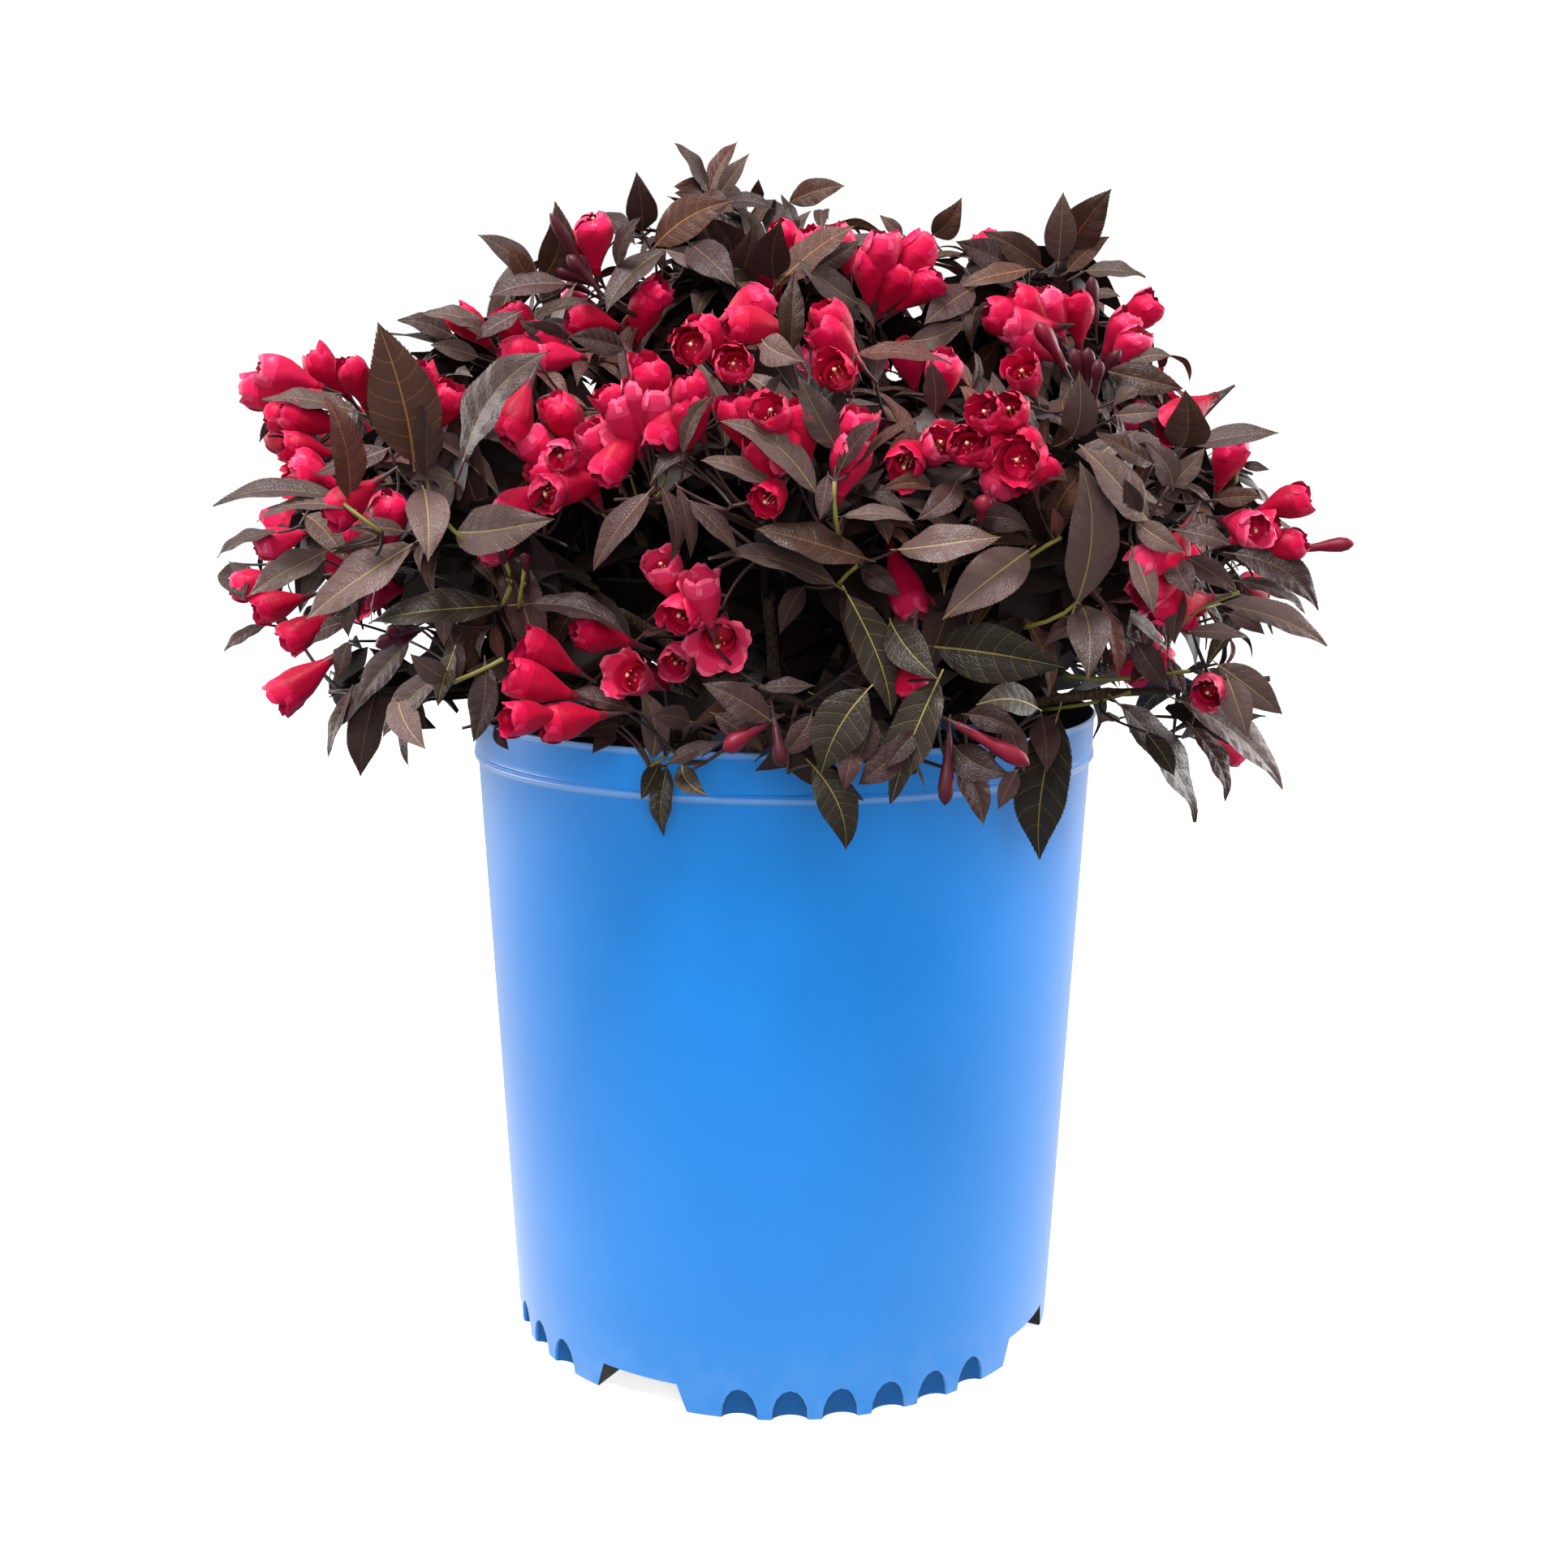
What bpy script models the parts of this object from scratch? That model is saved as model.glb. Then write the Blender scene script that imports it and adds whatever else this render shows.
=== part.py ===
# Weigela shrub in bloom, standing in the round nursery pot that it grows in.
#
# The part's frame: the origin is the centre of the pot's flat underside, +Z is up, and the side that
# is seen first faces -Y. The pot is a thin turned wall with a flat floor, a banded rim and a
# scalloped foot with four notches. The root ball fills it, a short woody base stands on the root
# ball, and tapering boughs run from that base to the masses of foliage. Eleven masses make the
# dome of the shrub, and seven thinner ones hang outside the rim.

import math
import random

import bpy
from mathutils import Vector
from mathutils.bvhtree import BVHTree

MM = 0.001
GAP = 0.3 * MM                    # the clearance between neighbouring solids

# Pot. Radii and heights in metres, measured from the centre of the underside.
POT_FOOT_R = 0.1009
POT_WALL_TOP_R = 0.1110           # just under the bead of the rim
POT_WALL_TOP_Z = 0.2112
POT_BEAD_R = 0.1125
POT_BEAD_Z = 0.2128
POT_BEAD_TOP_Z = 0.2142
POT_BAND_R = 0.1119
POT_LIP_R = 0.1127
POT_LIP_Z = 0.2266
POT_HEIGHT = 0.2280
POT_WALL = 0.0015
POT_FLOOR = 0.0020
POT_STEPS = 48

FOOT_RING_R = 0.0940              # inner face of the thick ring that carries the scallops
FOOT_RING_Z = 0.0132
NOTCHES = 4
NOTCH_TURN = -29.0                # degrees from the front, towards +X, of the first notch
NOTCH_FOOT_HALF = 0.0190
NOTCH_ROOF_HALF = 0.0148
NOTCH_HEIGHT = 0.0100
NOTCH_BACK_R = 0.0800
SCALLOPS_PER_SIDE = 6
SCALLOP_PITCH = 9.7               # degrees between neighbouring scallops
SCALLOP_HALF_WIDTH = 0.0064
SCALLOP_HEIGHT = 0.0112
SCALLOP_DEPTH = 0.0047

# Root ball.
SOIL_TOP_Z = 0.2060
SOIL_EDGE_Z = 0.2042
SOIL_CORE_R = 0.0780              # the part that reaches the floor, inside the notches
SOIL_SHOULDER_Z = 0.0136

# Woody base of the shrub.
BASE_SECTIONS = ((0.2063, 0.0150), (0.2110, 0.0176), (0.2170, 0.0160), (0.2215, 0.0118))
BASE_SIDES = 12

# Open space under the dome, round the foot of the boughs.
HOLLOW_CENTRE = Vector((0.0, 0.0, 0.2350))
HOLLOW_R = 0.0620
DOME_FLOOR_Z = 0.2465
RIM_CLEAR_R = 0.1133

# Masses of foliage: name, centre, half sizes and the tips that the mass reaches, in millimetres.
DOME = (
    ("foliage_top", (-12, -6, 352), (70, 66, 48),
     ((-17, 0, 425), (-51, -10, 413), (22, 20, 413), (-64, -54, 380), (20, -60, 388), (-20, 56, 404))),
    ("foliage_top_left", (-92, -8, 332), (58, 60, 44),
     ((-104, -20, 391), (-142, -40, 362), (-96, -70, 362), (-112, 40, 378))),
    ("foliage_top_right", (86, -2, 344), (60, 60, 50),
     ((61, 0, 406), (114, 0, 409), (128, -20, 382), (82, -76, 366), (100, 48, 394))),
    ("foliage_left", (-140, -14, 294), (54, 66, 44),
     ((-196, -30, 302), (-186, -42, 345), (-166, -84, 296), (-188, 34, 300))),
    ("foliage_right", (138, -12, 290), (50, 62, 40),
     ((196, -30, 289), (172, -20, 328), (146, -34, 340), (186, 36, 292), (160, -84, 290))),
    ("foliage_front", (-12, -92, 310), (66, 62, 52),
     ((-39, -130, 342), (-58, -146, 306), (10, -158, 304), (30, -122, 350))),
    ("foliage_front_left", (-92, -84, 286), (52, 54, 42),
     ((-124, -114, 320), (-126, -120, 282), (-80, -148, 278))),
    ("foliage_front_right", (74, -90, 294), (62, 62, 52),
     ((66, -154, 318), (98, -148, 280), (116, -104, 330), (40, -164, 284))),
    ("foliage_back", (4, 98, 304), (68, 66, 54),
     ((6, 168, 300), (-34, 142, 354), (46, 138, 358), (4, 96, 390))),
    ("foliage_back_left", (-96, 76, 298), (62, 64, 50),
     ((-154, 106, 302), (-114, 136, 290), (-120, 86, 356))),
    ("foliage_back_right", (98, 76, 300), (62, 64, 52),
     ((156, 104, 306), (112, 138, 290), (124, 84, 360))),
)
HANGING = (
    ("foliage_low_left", (-145, -38, 241), (38, 56, 24),
     ((-192, -40, 252), (-176, -60, 233), (-143, -66, 212), (-124, -92, 217), (-170, 22, 236))),
    ("foliage_low_right", (144, -44, 240), (34, 58, 26),
     ((187, -40, 254), (168, -62, 208), (135, -84, 201), (180, 20, 238))),
    ("foliage_low_front", (22, -139, 241), (60, 28, 26),
     ((17, -150, 207), (-34, -140, 210), (58, -142, 212), (78, -138, 202), (35, -172, 264), (-18, -168, 254))),
    ("foliage_low_front_left", (-80, -122, 245), (40, 34, 20),
     ((-64, -136, 232), (-72, -156, 250), (-108, -120, 226))),
    ("foliage_low_back_left", (-94, 112, 242), (60, 50, 24),
     ((-138, 120, 230), (-70, 150, 226), (-162, 62, 236))),
    ("foliage_low_back_right", (94, 114, 242), (60, 50, 24),
     ((138, 118, 228), (62, 154, 228), (160, 62, 238))),
    ("foliage_low_back", (4, 140, 242), (44, 30, 24),
     ((-24, 150, 222), (26, 160, 230), (2, 166, 248))),
)
DOME_FREQUENCY = 4                # rows of facets along each side of the ball that a mass starts as
HANGING_FREQUENCY = 3
LOBE_SPREAD = 0.46                # radians over which a tip swells the mass
BUMP = 0.11
MASS_SEED = 11

# Boughs: radii at the foot and at the tip.
BOUGH_FOOT_R = 0.0031
BOUGH_TIP_R = 0.0016
BOUGH_INNER_RING = 0.0070         # distance from the axis at which the steep boughs leave the base
BOUGH_OUTER_RING = 0.0135
LOW_BOUGH_FOOT_R = 0.0025
LOW_BOUGH_Z = 0.2375              # height at which a low bough crosses the rim
BOUGH_SIDES = 7
BOUGH_SEGMENTS = 4


def clear_scene():
    for obj in list(bpy.data.objects):
        bpy.data.objects.remove(obj, do_unlink=True)
    for collection in list(bpy.data.collections):
        bpy.data.collections.remove(collection)


def new_collection(name, helper=False):
    collection = bpy.data.collections.new(name)
    collection.hide_render = helper
    bpy.context.scene.collection.children.link(collection)
    return collection


def new_material(name, colour, roughness, metallic=0.0):
    material = bpy.data.materials.new(name)
    material.use_nodes = True
    shader = material.node_tree.nodes["Principled BSDF"]
    shader.inputs["Base Color"].default_value = (*colour, 1.0)
    shader.inputs["Roughness"].default_value = roughness
    shader.inputs["Metallic"].default_value = metallic
    material.diffuse_color = (*colour, 1.0)
    return material


def new_mesh_object(name, points, faces, collection, material=None, parent=None):
    mesh = bpy.data.meshes.new(name)
    mesh.from_pydata([tuple(p) for p in points], [], faces)
    mesh.validate()
    mesh.update()
    obj = bpy.data.objects.new(name, mesh)
    collection.objects.link(obj)
    if material is not None:
        mesh.materials.append(material)
    if parent is not None:
        obj.parent = parent
    return obj


def turned(name, profile, steps, collection, material=None, parent=None):
    """A solid turned about Z from a profile of (radius, height) points that runs top to bottom outside."""
    points = [(r, 0.0, z) for r, z in profile]
    mesh = bpy.data.meshes.new(name)
    mesh.from_pydata(points, [(i, i + 1) for i in range(len(points) - 1)], [])
    obj = bpy.data.objects.new(name, mesh)
    collection.objects.link(obj)
    if material is not None:
        mesh.materials.append(material)
    if parent is not None:
        obj.parent = parent
    screw = obj.modifiers.new("turn", "SCREW")
    screw.axis = "Z"
    screw.angle = math.tau
    screw.steps = steps
    screw.render_steps = steps
    screw.use_merge_vertices = True
    screw.merge_threshold = 1e-5
    screw.use_smooth_shade = True
    return obj


def boolean(obj, cutter, operation):
    cut = obj.modifiers.new(f"{operation.lower()} {cutter.name}", "BOOLEAN")
    cut.operation = operation
    cut.solver = "EXACT"
    cut.object = cutter


def pot_profile():
    """The pot's section, from the middle of the floor's top face round the wall to its underside."""
    inner_top = POT_WALL_TOP_R - POT_WALL
    inner_foot = POT_FOOT_R - POT_WALL + 0.0006
    return (
        (0.0, POT_FLOOR),
        (FOOT_RING_R, POT_FLOOR),
        (FOOT_RING_R, FOOT_RING_Z - 0.0020),
        (inner_foot, FOOT_RING_Z),
        (inner_top, POT_WALL_TOP_Z),
        (POT_BAND_R - POT_WALL, POT_BEAD_TOP_Z),
        (POT_BAND_R - POT_WALL, POT_LIP_Z),
        (POT_BAND_R - 0.0006, POT_HEIGHT),
        (POT_LIP_R, POT_LIP_Z + 0.0004),
        (POT_BAND_R, POT_LIP_Z - 0.0012),
        (POT_BAND_R, POT_BEAD_TOP_Z),
        (POT_BEAD_R, POT_BEAD_Z),
        (POT_WALL_TOP_R, POT_WALL_TOP_Z),
        (wall_outer_r(0.0145), 0.0145),
        (POT_FOOT_R, 0.0),
        (0.0, 0.0),
    )


def wall_outer_r(z):
    return POT_FOOT_R + (POT_WALL_TOP_R - POT_FOOT_R) * z / POT_WALL_TOP_Z


def wall_inner_r(z):
    return wall_outer_r(z) - POT_WALL


def notch_block(name, turn, near_r, far_r, low, high, foot_half, roof_half, collection):
    """A trapezoid block that points outwards at the angle `turn`, for one notch of the foot."""
    out = Vector((math.sin(turn), -math.cos(turn), 0.0))
    side = Vector((math.cos(turn), math.sin(turn), 0.0))
    corners = []
    for r in (near_r, far_r):
        for half, z in ((-foot_half, low), (foot_half, low), (roof_half, high), (-roof_half, high)):
            corners.append(out * r + side * half + Vector((0.0, 0.0, z)))
    faces = [(0, 1, 2, 3), (7, 6, 5, 4), (0, 4, 5, 1), (1, 5, 6, 2), (2, 6, 7, 3), (3, 7, 4, 0)]
    middle = sum(corners, Vector()) / len(corners)
    return new_mesh_object(name, corners, outward(corners, faces, middle), collection)


def scallop_cutter(name, turn, collection):
    """A stretched ball on the foot's edge: it leaves a shallow pocket with an arched top."""
    points, faces = geodesic(2)
    out = Vector((math.sin(turn), -math.cos(turn), 0.0))
    side = Vector((math.cos(turn), math.sin(turn), 0.0))
    up = Vector((0.0, 0.0, 1.0))
    centre = out * (POT_FOOT_R + 0.0004)
    placed = []
    for p in points:
        placed.append(
            centre + out * (p.x * SCALLOP_DEPTH) + side * (p.y * SCALLOP_HALF_WIDTH) + up * (p.z * SCALLOP_HEIGHT)
        )
    return new_mesh_object(name, placed, outward(placed, faces, centre), collection)


def geodesic(frequency):
    """Unit directions and triangles of an icosahedron whose sides are cut into `frequency` parts."""
    golden = (1 + math.sqrt(5)) / 2
    corners = []
    for a in (-1, 1):
        for b in (-golden, golden):
            corners += [Vector((0, a, b)), Vector((a, b, 0)), Vector((b, 0, a))]
    triangles = []
    for i in range(12):
        for j in range(i + 1, 12):
            for k in range(j + 1, 12):
                sides = [(corners[i] - corners[j]).length, (corners[j] - corners[k]).length]
                sides.append((corners[k] - corners[i]).length)
                if max(sides) < 2.1:
                    triangles.append((i, j, k))
    points = []
    index = {}

    def place(p):
        p = p.normalized()
        key = (round(p.x, 6), round(p.y, 6), round(p.z, 6))
        if key not in index:
            index[key] = len(points)
            points.append(p)
        return index[key]

    faces = []
    for i, j, k in triangles:
        rows = []
        for a in range(frequency + 1):
            row = []
            for b in range(frequency + 1 - a):
                c = frequency - a - b
                row.append(place((corners[i] * c + corners[j] * b + corners[k] * a) / frequency))
            rows.append(row)
        for a in range(frequency):
            for b in range(frequency - a):
                faces.append((rows[a][b], rows[a][b + 1], rows[a + 1][b]))
                if b < frequency - a - 1:
                    faces.append((rows[a][b + 1], rows[a + 1][b + 1], rows[a + 1][b]))
    return points, outward(points, faces, Vector((0, 0, 0)))


def outward(points, faces, centre):
    """The faces, each turned so that its normal points away from the centre."""
    turned_faces = []
    for face in faces:
        a, b, c = (points[i] for i in face[:3])
        if (b - a).cross(c - a).dot(a + b + c - 3 * centre) < 0:
            face = tuple(reversed(face))
        turned_faces.append(tuple(face))
    return turned_faces


def mass_walls(number, masses):
    """The planes that a mass stays behind, as (normal, distance from the mass's centre)."""
    name, centre, size, tips, hangs = masses[number]
    planes = []
    weight = sum(size) / 3
    for other_number, (other_name, other, other_size, other_tips, other_hangs) in enumerate(masses):
        if other_number == number:
            continue
        across = other - centre
        other_weight = sum(other_size) / 3
        reach = (across.length_squared + weight**2 - other_weight**2) / (2 * across.length)
        planes.append((across.normalized(), reach - GAP * 0.6))
    if hangs:
        out = Vector((centre.x, centre.y, 0.0)).normalized()
        planes.append((-out, centre.dot(out) - RIM_CLEAR_R))
    else:
        planes.append((Vector((0, 0, -1)), centre.z - DOME_FLOOR_Z))
        out = (centre - HOLLOW_CENTRE).normalized()
        planes.append((-out, (centre - HOLLOW_CENTRE).length - HOLLOW_R))
    return planes


def mass_surface(number, masses, frequency):
    """Points and faces of one mass: a bumpy ball with lobes to its tips, cut flat by its neighbours."""
    name, centre, size, tips, hangs = masses[number]
    chance = random.Random(MASS_SEED + number)
    waves = []
    for _ in range(7):
        axis = Vector([chance.gauss(0, 1) for _ in range(3)]).normalized()
        waves.append((axis, chance.uniform(3.0, 6.5), chance.uniform(0, math.tau)))
    reaches = [((tip - centre).normalized(), (tip - centre).length) for tip in tips]
    planes = mass_walls(number, masses)
    directions, faces = geodesic(frequency)
    # One corner of the ball turns to face each tip, so that the mass comes to a point there.
    for aim, _ in reaches:
        nearest = max(range(len(directions)), key=lambda i: directions[i].dot(aim))
        directions[nearest] = aim.copy()
    points = []
    for d in directions:
        swell = sum(math.sin(rate * d.dot(axis) + phase) for axis, rate, phase in waves)
        base = 1 / math.sqrt(sum((d[k] / size[k]) ** 2 for k in range(3)))
        radius = base * (1 + BUMP * swell / math.sqrt(7) * 1.6)
        for aim, reach in reaches:
            angle = d.angle(aim)
            radius = max(radius, reach * math.exp(-((angle / LOBE_SPREAD) ** 2)))
        for normal, distance in planes:
            facing = d.dot(normal)
            if facing > 1e-6:
                radius = min(radius, distance / facing)
        points.append(centre + d * radius)
    return points, faces


def bough_path(start, bend, end):
    """Points of a smooth curve from the start, drawn towards the bend, to the end."""
    path = []
    for i in range(BOUGH_SEGMENTS + 1):
        t = i / BOUGH_SEGMENTS
        path.append(start * (1 - t) ** 2 + bend * (2 * t * (1 - t)) + end * t**2)
    return path


def seat(tree, point, away, radius):
    """The point moved along `away` until a ball of this radius just clears the surface by the gap."""
    low = -0.02
    high = 0.03
    for _ in range(40):
        middle = (low + high) / 2
        near = tree.find_nearest(point + away * middle)
        outside = (point + away * middle - near[0]).dot(near[1]) > 0
        if outside and near[3] > radius + GAP:
            high = middle
        else:
            low = middle
    return point + away * high


def bough_surface(path, foot_r, tip_r):
    """A round tapering limb along the path, with a domed end at both its foot and its tip."""
    rings = []
    radii = [foot_r + (tip_r - foot_r) * i / (len(path) - 1) for i in range(len(path))]
    first = (path[1] - path[0]).normalized()
    last = (path[-1] - path[-2]).normalized()
    side = first.orthogonal().normalized()
    stations = [(path[0] - first * radii[0] * 0.7, first, radii[0] * 0.7)]
    for i, p in enumerate(path):
        along = (path[min(i + 1, len(path) - 1)] - path[max(i - 1, 0)]).normalized()
        stations.append((p, along, radii[i]))
    stations.append((path[-1] + last * radii[-1] * 0.7, last, radii[-1] * 0.7))
    points = []
    for p, along, radius in stations:
        side = (side - along * side.dot(along)).normalized()
        other = along.cross(side)
        ring = []
        for k in range(BOUGH_SIDES):
            a = math.tau * k / BOUGH_SIDES
            ring.append(len(points))
            points.append(p + (side * math.cos(a) + other * math.sin(a)) * radius)
        rings.append(ring)
    faces = []
    for lower, upper in zip(rings, rings[1:]):
        for k in range(BOUGH_SIDES):
            n = (k + 1) % BOUGH_SIDES
            faces.append((lower[k], lower[n], upper[n], upper[k]))
    foot = len(points)
    points.append(path[0] - first * radii[0])
    tip = len(points)
    points.append(path[-1] + last * radii[-1])
    for k in range(BOUGH_SIDES):
        n = (k + 1) % BOUGH_SIDES
        faces.append((rings[0][n], rings[0][k], foot))
        faces.append((rings[-1][k], rings[-1][n], tip))
    return points, faces


def base_surface():
    """The knobbly woody base that the boughs rise from."""
    points = []
    rings = []
    for z, radius in BASE_SECTIONS:
        ring = []
        for k in range(BASE_SIDES):
            a = math.tau * k / BASE_SIDES
            r = radius * (1 + 0.05 * math.sin(3 * a + 40 * z) + 0.03 * math.cos(5 * a))
            ring.append(len(points))
            points.append(Vector((r * math.cos(a), r * math.sin(a), z)))
        rings.append(ring)
    faces = [tuple(reversed(rings[0]))]
    for lower, upper in zip(rings, rings[1:]):
        for k in range(BASE_SIDES):
            n = (k + 1) % BASE_SIDES
            faces.append((lower[k], lower[n], upper[n], upper[k]))
    crest = len(points)
    points.append(Vector((0, 0, BASE_SECTIONS[-1][0] + 0.0015)))
    for k in range(BASE_SIDES):
        faces.append((rings[-1][k], rings[-1][(k + 1) % BASE_SIDES], crest))
    return points, faces


def smooth(obj, degrees=40):
    for polygon in obj.data.polygons:
        polygon.use_smooth = True
    obj.data.set_sharp_from_angle(angle=math.radians(degrees))


def main():
    clear_scene()
    scene = bpy.context.scene
    scene.unit_settings.system = "METRIC"
    scene.unit_settings.scale_length = 1.0

    shrub = new_collection("weigela_in_pot")
    cutters = new_collection("cutters", helper=True)
    blue = new_material("pot_blue_plastic", (0.030, 0.235, 0.780), 0.38)
    mix = new_material("potting_mix", (0.060, 0.040, 0.028), 0.95)
    bark = new_material("young_bark", (0.150, 0.090, 0.055), 0.80)
    leaf = new_material("dark_foliage", (0.055, 0.032, 0.036), 0.55)
    whole = bpy.data.objects.new("weigela_in_pot_root", None)
    shrub.objects.link(whole)

    # Pot: the turned wall, the notch housings joined on inside, then notches and scallops cut out.
    pot = turned("pot", pot_profile(), POT_STEPS, shrub, blue, whole)
    quarter = 360.0 / NOTCHES
    tools = []
    for n in range(NOTCHES):
        turn = math.radians(NOTCH_TURN + quarter * n)
        house = notch_block(
            f"notch_house_{n}", turn, NOTCH_BACK_R - 0.0016, POT_FOOT_R - 0.0040, POT_FLOOR * 0.4,
            NOTCH_HEIGHT + 0.0018, NOTCH_FOOT_HALF + 0.0018, NOTCH_ROOF_HALF + 0.0018, cutters,
        )
        boolean(pot, house, "UNION")
        tools.append(
            notch_block(
                f"notch_{n}", turn, NOTCH_BACK_R, POT_FOOT_R + 0.006, -0.002,
                NOTCH_HEIGHT, NOTCH_FOOT_HALF, NOTCH_ROOF_HALF, cutters,
            )
        )
        for s in range(SCALLOPS_PER_SIDE):
            shift = (s - (SCALLOPS_PER_SIDE - 1) / 2) * SCALLOP_PITCH
            at = math.radians(NOTCH_TURN + quarter * (n + 0.5) + shift)
            tools.append(scallop_cutter(f"scallop_{n}_{s}", at, cutters))
    for tool in tools:
        boolean(pot, tool, "DIFFERENCE")
    normals = pot.modifiers.new("normals", "WEIGHTED_NORMAL")
    normals.weight = 100
    for helper in cutters.objects:
        helper.display_type = "WIRE"
        helper.hide_render = True

    # Root ball, a clearance inside the wall and above the foot's inner step.
    shoulder_r = wall_inner_r(SOIL_SHOULDER_Z) - GAP - 0.0006
    soil_profile = (
        (0.0, SOIL_TOP_Z),
        (0.0300, SOIL_TOP_Z),
        (wall_inner_r(SOIL_EDGE_Z) - GAP - 0.0002, SOIL_EDGE_Z),
        (shoulder_r, SOIL_SHOULDER_Z),
        (SOIL_CORE_R, SOIL_SHOULDER_Z),
        (SOIL_CORE_R, POT_FLOOR + GAP),
        (0.0, POT_FLOOR + GAP),
    )
    turned("root_ball", soil_profile, POT_STEPS, shrub, mix, whole)

    base_points, base_faces = base_surface()
    base = new_mesh_object("stem_base", base_points, base_faces, shrub, bark, whole)
    smooth(base)
    base_tree = BVHTree.FromPolygons([tuple(p) for p in base_points], base_faces)

    # Masses of foliage.
    masses = []
    for group, hangs in ((DOME, False), (HANGING, True)):
        for name, centre, size, tips in group:
            masses.append(
                (
                    name,
                    Vector(centre) * MM,
                    tuple(s * MM for s in size),
                    [Vector(tip) * MM for tip in tips],
                    hangs,
                )
            )
    trees = []
    for number, (name, centre, size, tips, hangs) in enumerate(masses):
        frequency = HANGING_FREQUENCY if hangs else DOME_FREQUENCY
        points, faces = mass_surface(number, masses, frequency)
        new_mesh_object(name, points, faces, shrub, leaf, whole)
        trees.append(BVHTree.FromPolygons([tuple(p) for p in points], faces))

    # Boughs: each leaves the woody base towards its own mass and ends where it would enter it.
    heart = Vector((0, 0, BASE_SECTIONS[1][0]))
    for (name, centre, size, tips, hangs), tree in zip(masses, trees):
        out = Vector((centre.x, centre.y, 0.0)).normalized()
        if hangs:
            foot_r = LOW_BOUGH_FOOT_R
            leave = (out + Vector((0, 0, 0.12))).normalized()
            start = seat(base_tree, heart + out * BASE_SECTIONS[1][1], leave, foot_r)
            crossing = Vector((0, 0, LOW_BOUGH_Z))
            goal = tree.ray_cast(crossing, out)[0]
            bend = start.lerp(goal, 0.55) + Vector((0, 0, 0.006))
        else:
            foot_r = BOUGH_FOOT_R
            level = (centre - HOLLOW_CENTRE).to_2d().length
            steep = centre.z - HOLLOW_CENTRE.z > level
            foot_at = BOUGH_INNER_RING * min(1.0, level / 0.08) if steep else BOUGH_OUTER_RING
            spread = min(1.0, level / 0.090)
            leave = (out * foot_at / BOUGH_OUTER_RING * 1.2 + Vector((0, 0, 1.0))).normalized()
            start = seat(base_tree, heart + out * foot_at + Vector((0, 0, 0.010)), leave, foot_r)
            goal = tree.ray_cast(HOLLOW_CENTRE, (centre - HOLLOW_CENTRE).normalized())[0]
            bend = start.lerp(goal, 0.5) + Vector((0, 0, 0.008 * spread))
        inward = (bend - goal).normalized()
        end = seat(tree, goal, inward, BOUGH_TIP_R)
        points, faces = bough_surface(bough_path(start, bend, end), foot_r, BOUGH_TIP_R)
        bough = new_mesh_object(name.replace("foliage", "bough"), points, faces, shrub, bark, whole)
        smooth(bough)


main()
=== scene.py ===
# %% [markdown]
# # A dark-leaved weigela in bloom, in its blue nursery pot
# The shrub is one crown of thin twigs that all rise from one woody foot. The solids of the frame say
# where everything is: the pot, the root ball, the boughs and the masses of foliage. This script keeps
# to those places and makes what shows: bark, twigs, leaves, flowers and buds.

# %% Load the frame
import math

import bpy
import numpy as np
from mathutils import Matrix, Vector, noise
from mathutils.bvhtree import BVHTree


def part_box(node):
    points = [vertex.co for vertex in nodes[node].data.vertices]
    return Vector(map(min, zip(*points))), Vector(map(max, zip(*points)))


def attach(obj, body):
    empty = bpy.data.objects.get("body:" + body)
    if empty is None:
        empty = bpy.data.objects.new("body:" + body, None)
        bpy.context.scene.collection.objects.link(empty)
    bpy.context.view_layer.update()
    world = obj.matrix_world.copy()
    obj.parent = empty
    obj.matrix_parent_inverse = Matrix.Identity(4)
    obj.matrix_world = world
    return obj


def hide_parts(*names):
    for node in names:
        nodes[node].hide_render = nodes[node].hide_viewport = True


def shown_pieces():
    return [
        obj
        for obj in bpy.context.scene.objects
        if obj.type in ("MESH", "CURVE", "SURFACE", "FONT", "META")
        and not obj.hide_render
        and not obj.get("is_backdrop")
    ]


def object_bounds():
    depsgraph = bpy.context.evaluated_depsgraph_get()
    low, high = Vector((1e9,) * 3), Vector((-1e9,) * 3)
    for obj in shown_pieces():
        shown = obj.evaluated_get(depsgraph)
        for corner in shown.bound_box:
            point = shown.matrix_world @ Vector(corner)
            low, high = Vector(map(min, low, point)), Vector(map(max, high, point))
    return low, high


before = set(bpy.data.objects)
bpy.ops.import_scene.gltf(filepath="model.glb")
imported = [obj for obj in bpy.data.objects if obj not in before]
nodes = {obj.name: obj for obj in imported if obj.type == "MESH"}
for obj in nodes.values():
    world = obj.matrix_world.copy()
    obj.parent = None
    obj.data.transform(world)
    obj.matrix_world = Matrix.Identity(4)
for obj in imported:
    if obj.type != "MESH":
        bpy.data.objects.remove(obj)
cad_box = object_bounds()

MM = 0.001
SEED = 7
MOST_TRIANGLES = 195000           # in one joined piece
SMALL = 1e-9                      # shorter vectors count as this long when they are made unit vectors


def in_scene(name, data):
    """A new object, linked to the scene."""
    obj = bpy.data.objects.new(name, data)
    bpy.context.scene.collection.objects.link(obj)
    return obj


print(f"frame: {len(nodes)} solids, box {cad_box}")

# %% [markdown]
# ## Camera
# A camera is a pinhole: where it stands, which way it looks and its focal length. All three were
# found by laying the rim, sides and foot of the pot and two level lines of its wall over the
# photograph until they agreed. The same pinhole works backwards too: a spot of the photograph is a
# sight line into the scene, and a depth along that line gives a real place for a leaf or a flower.

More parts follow.
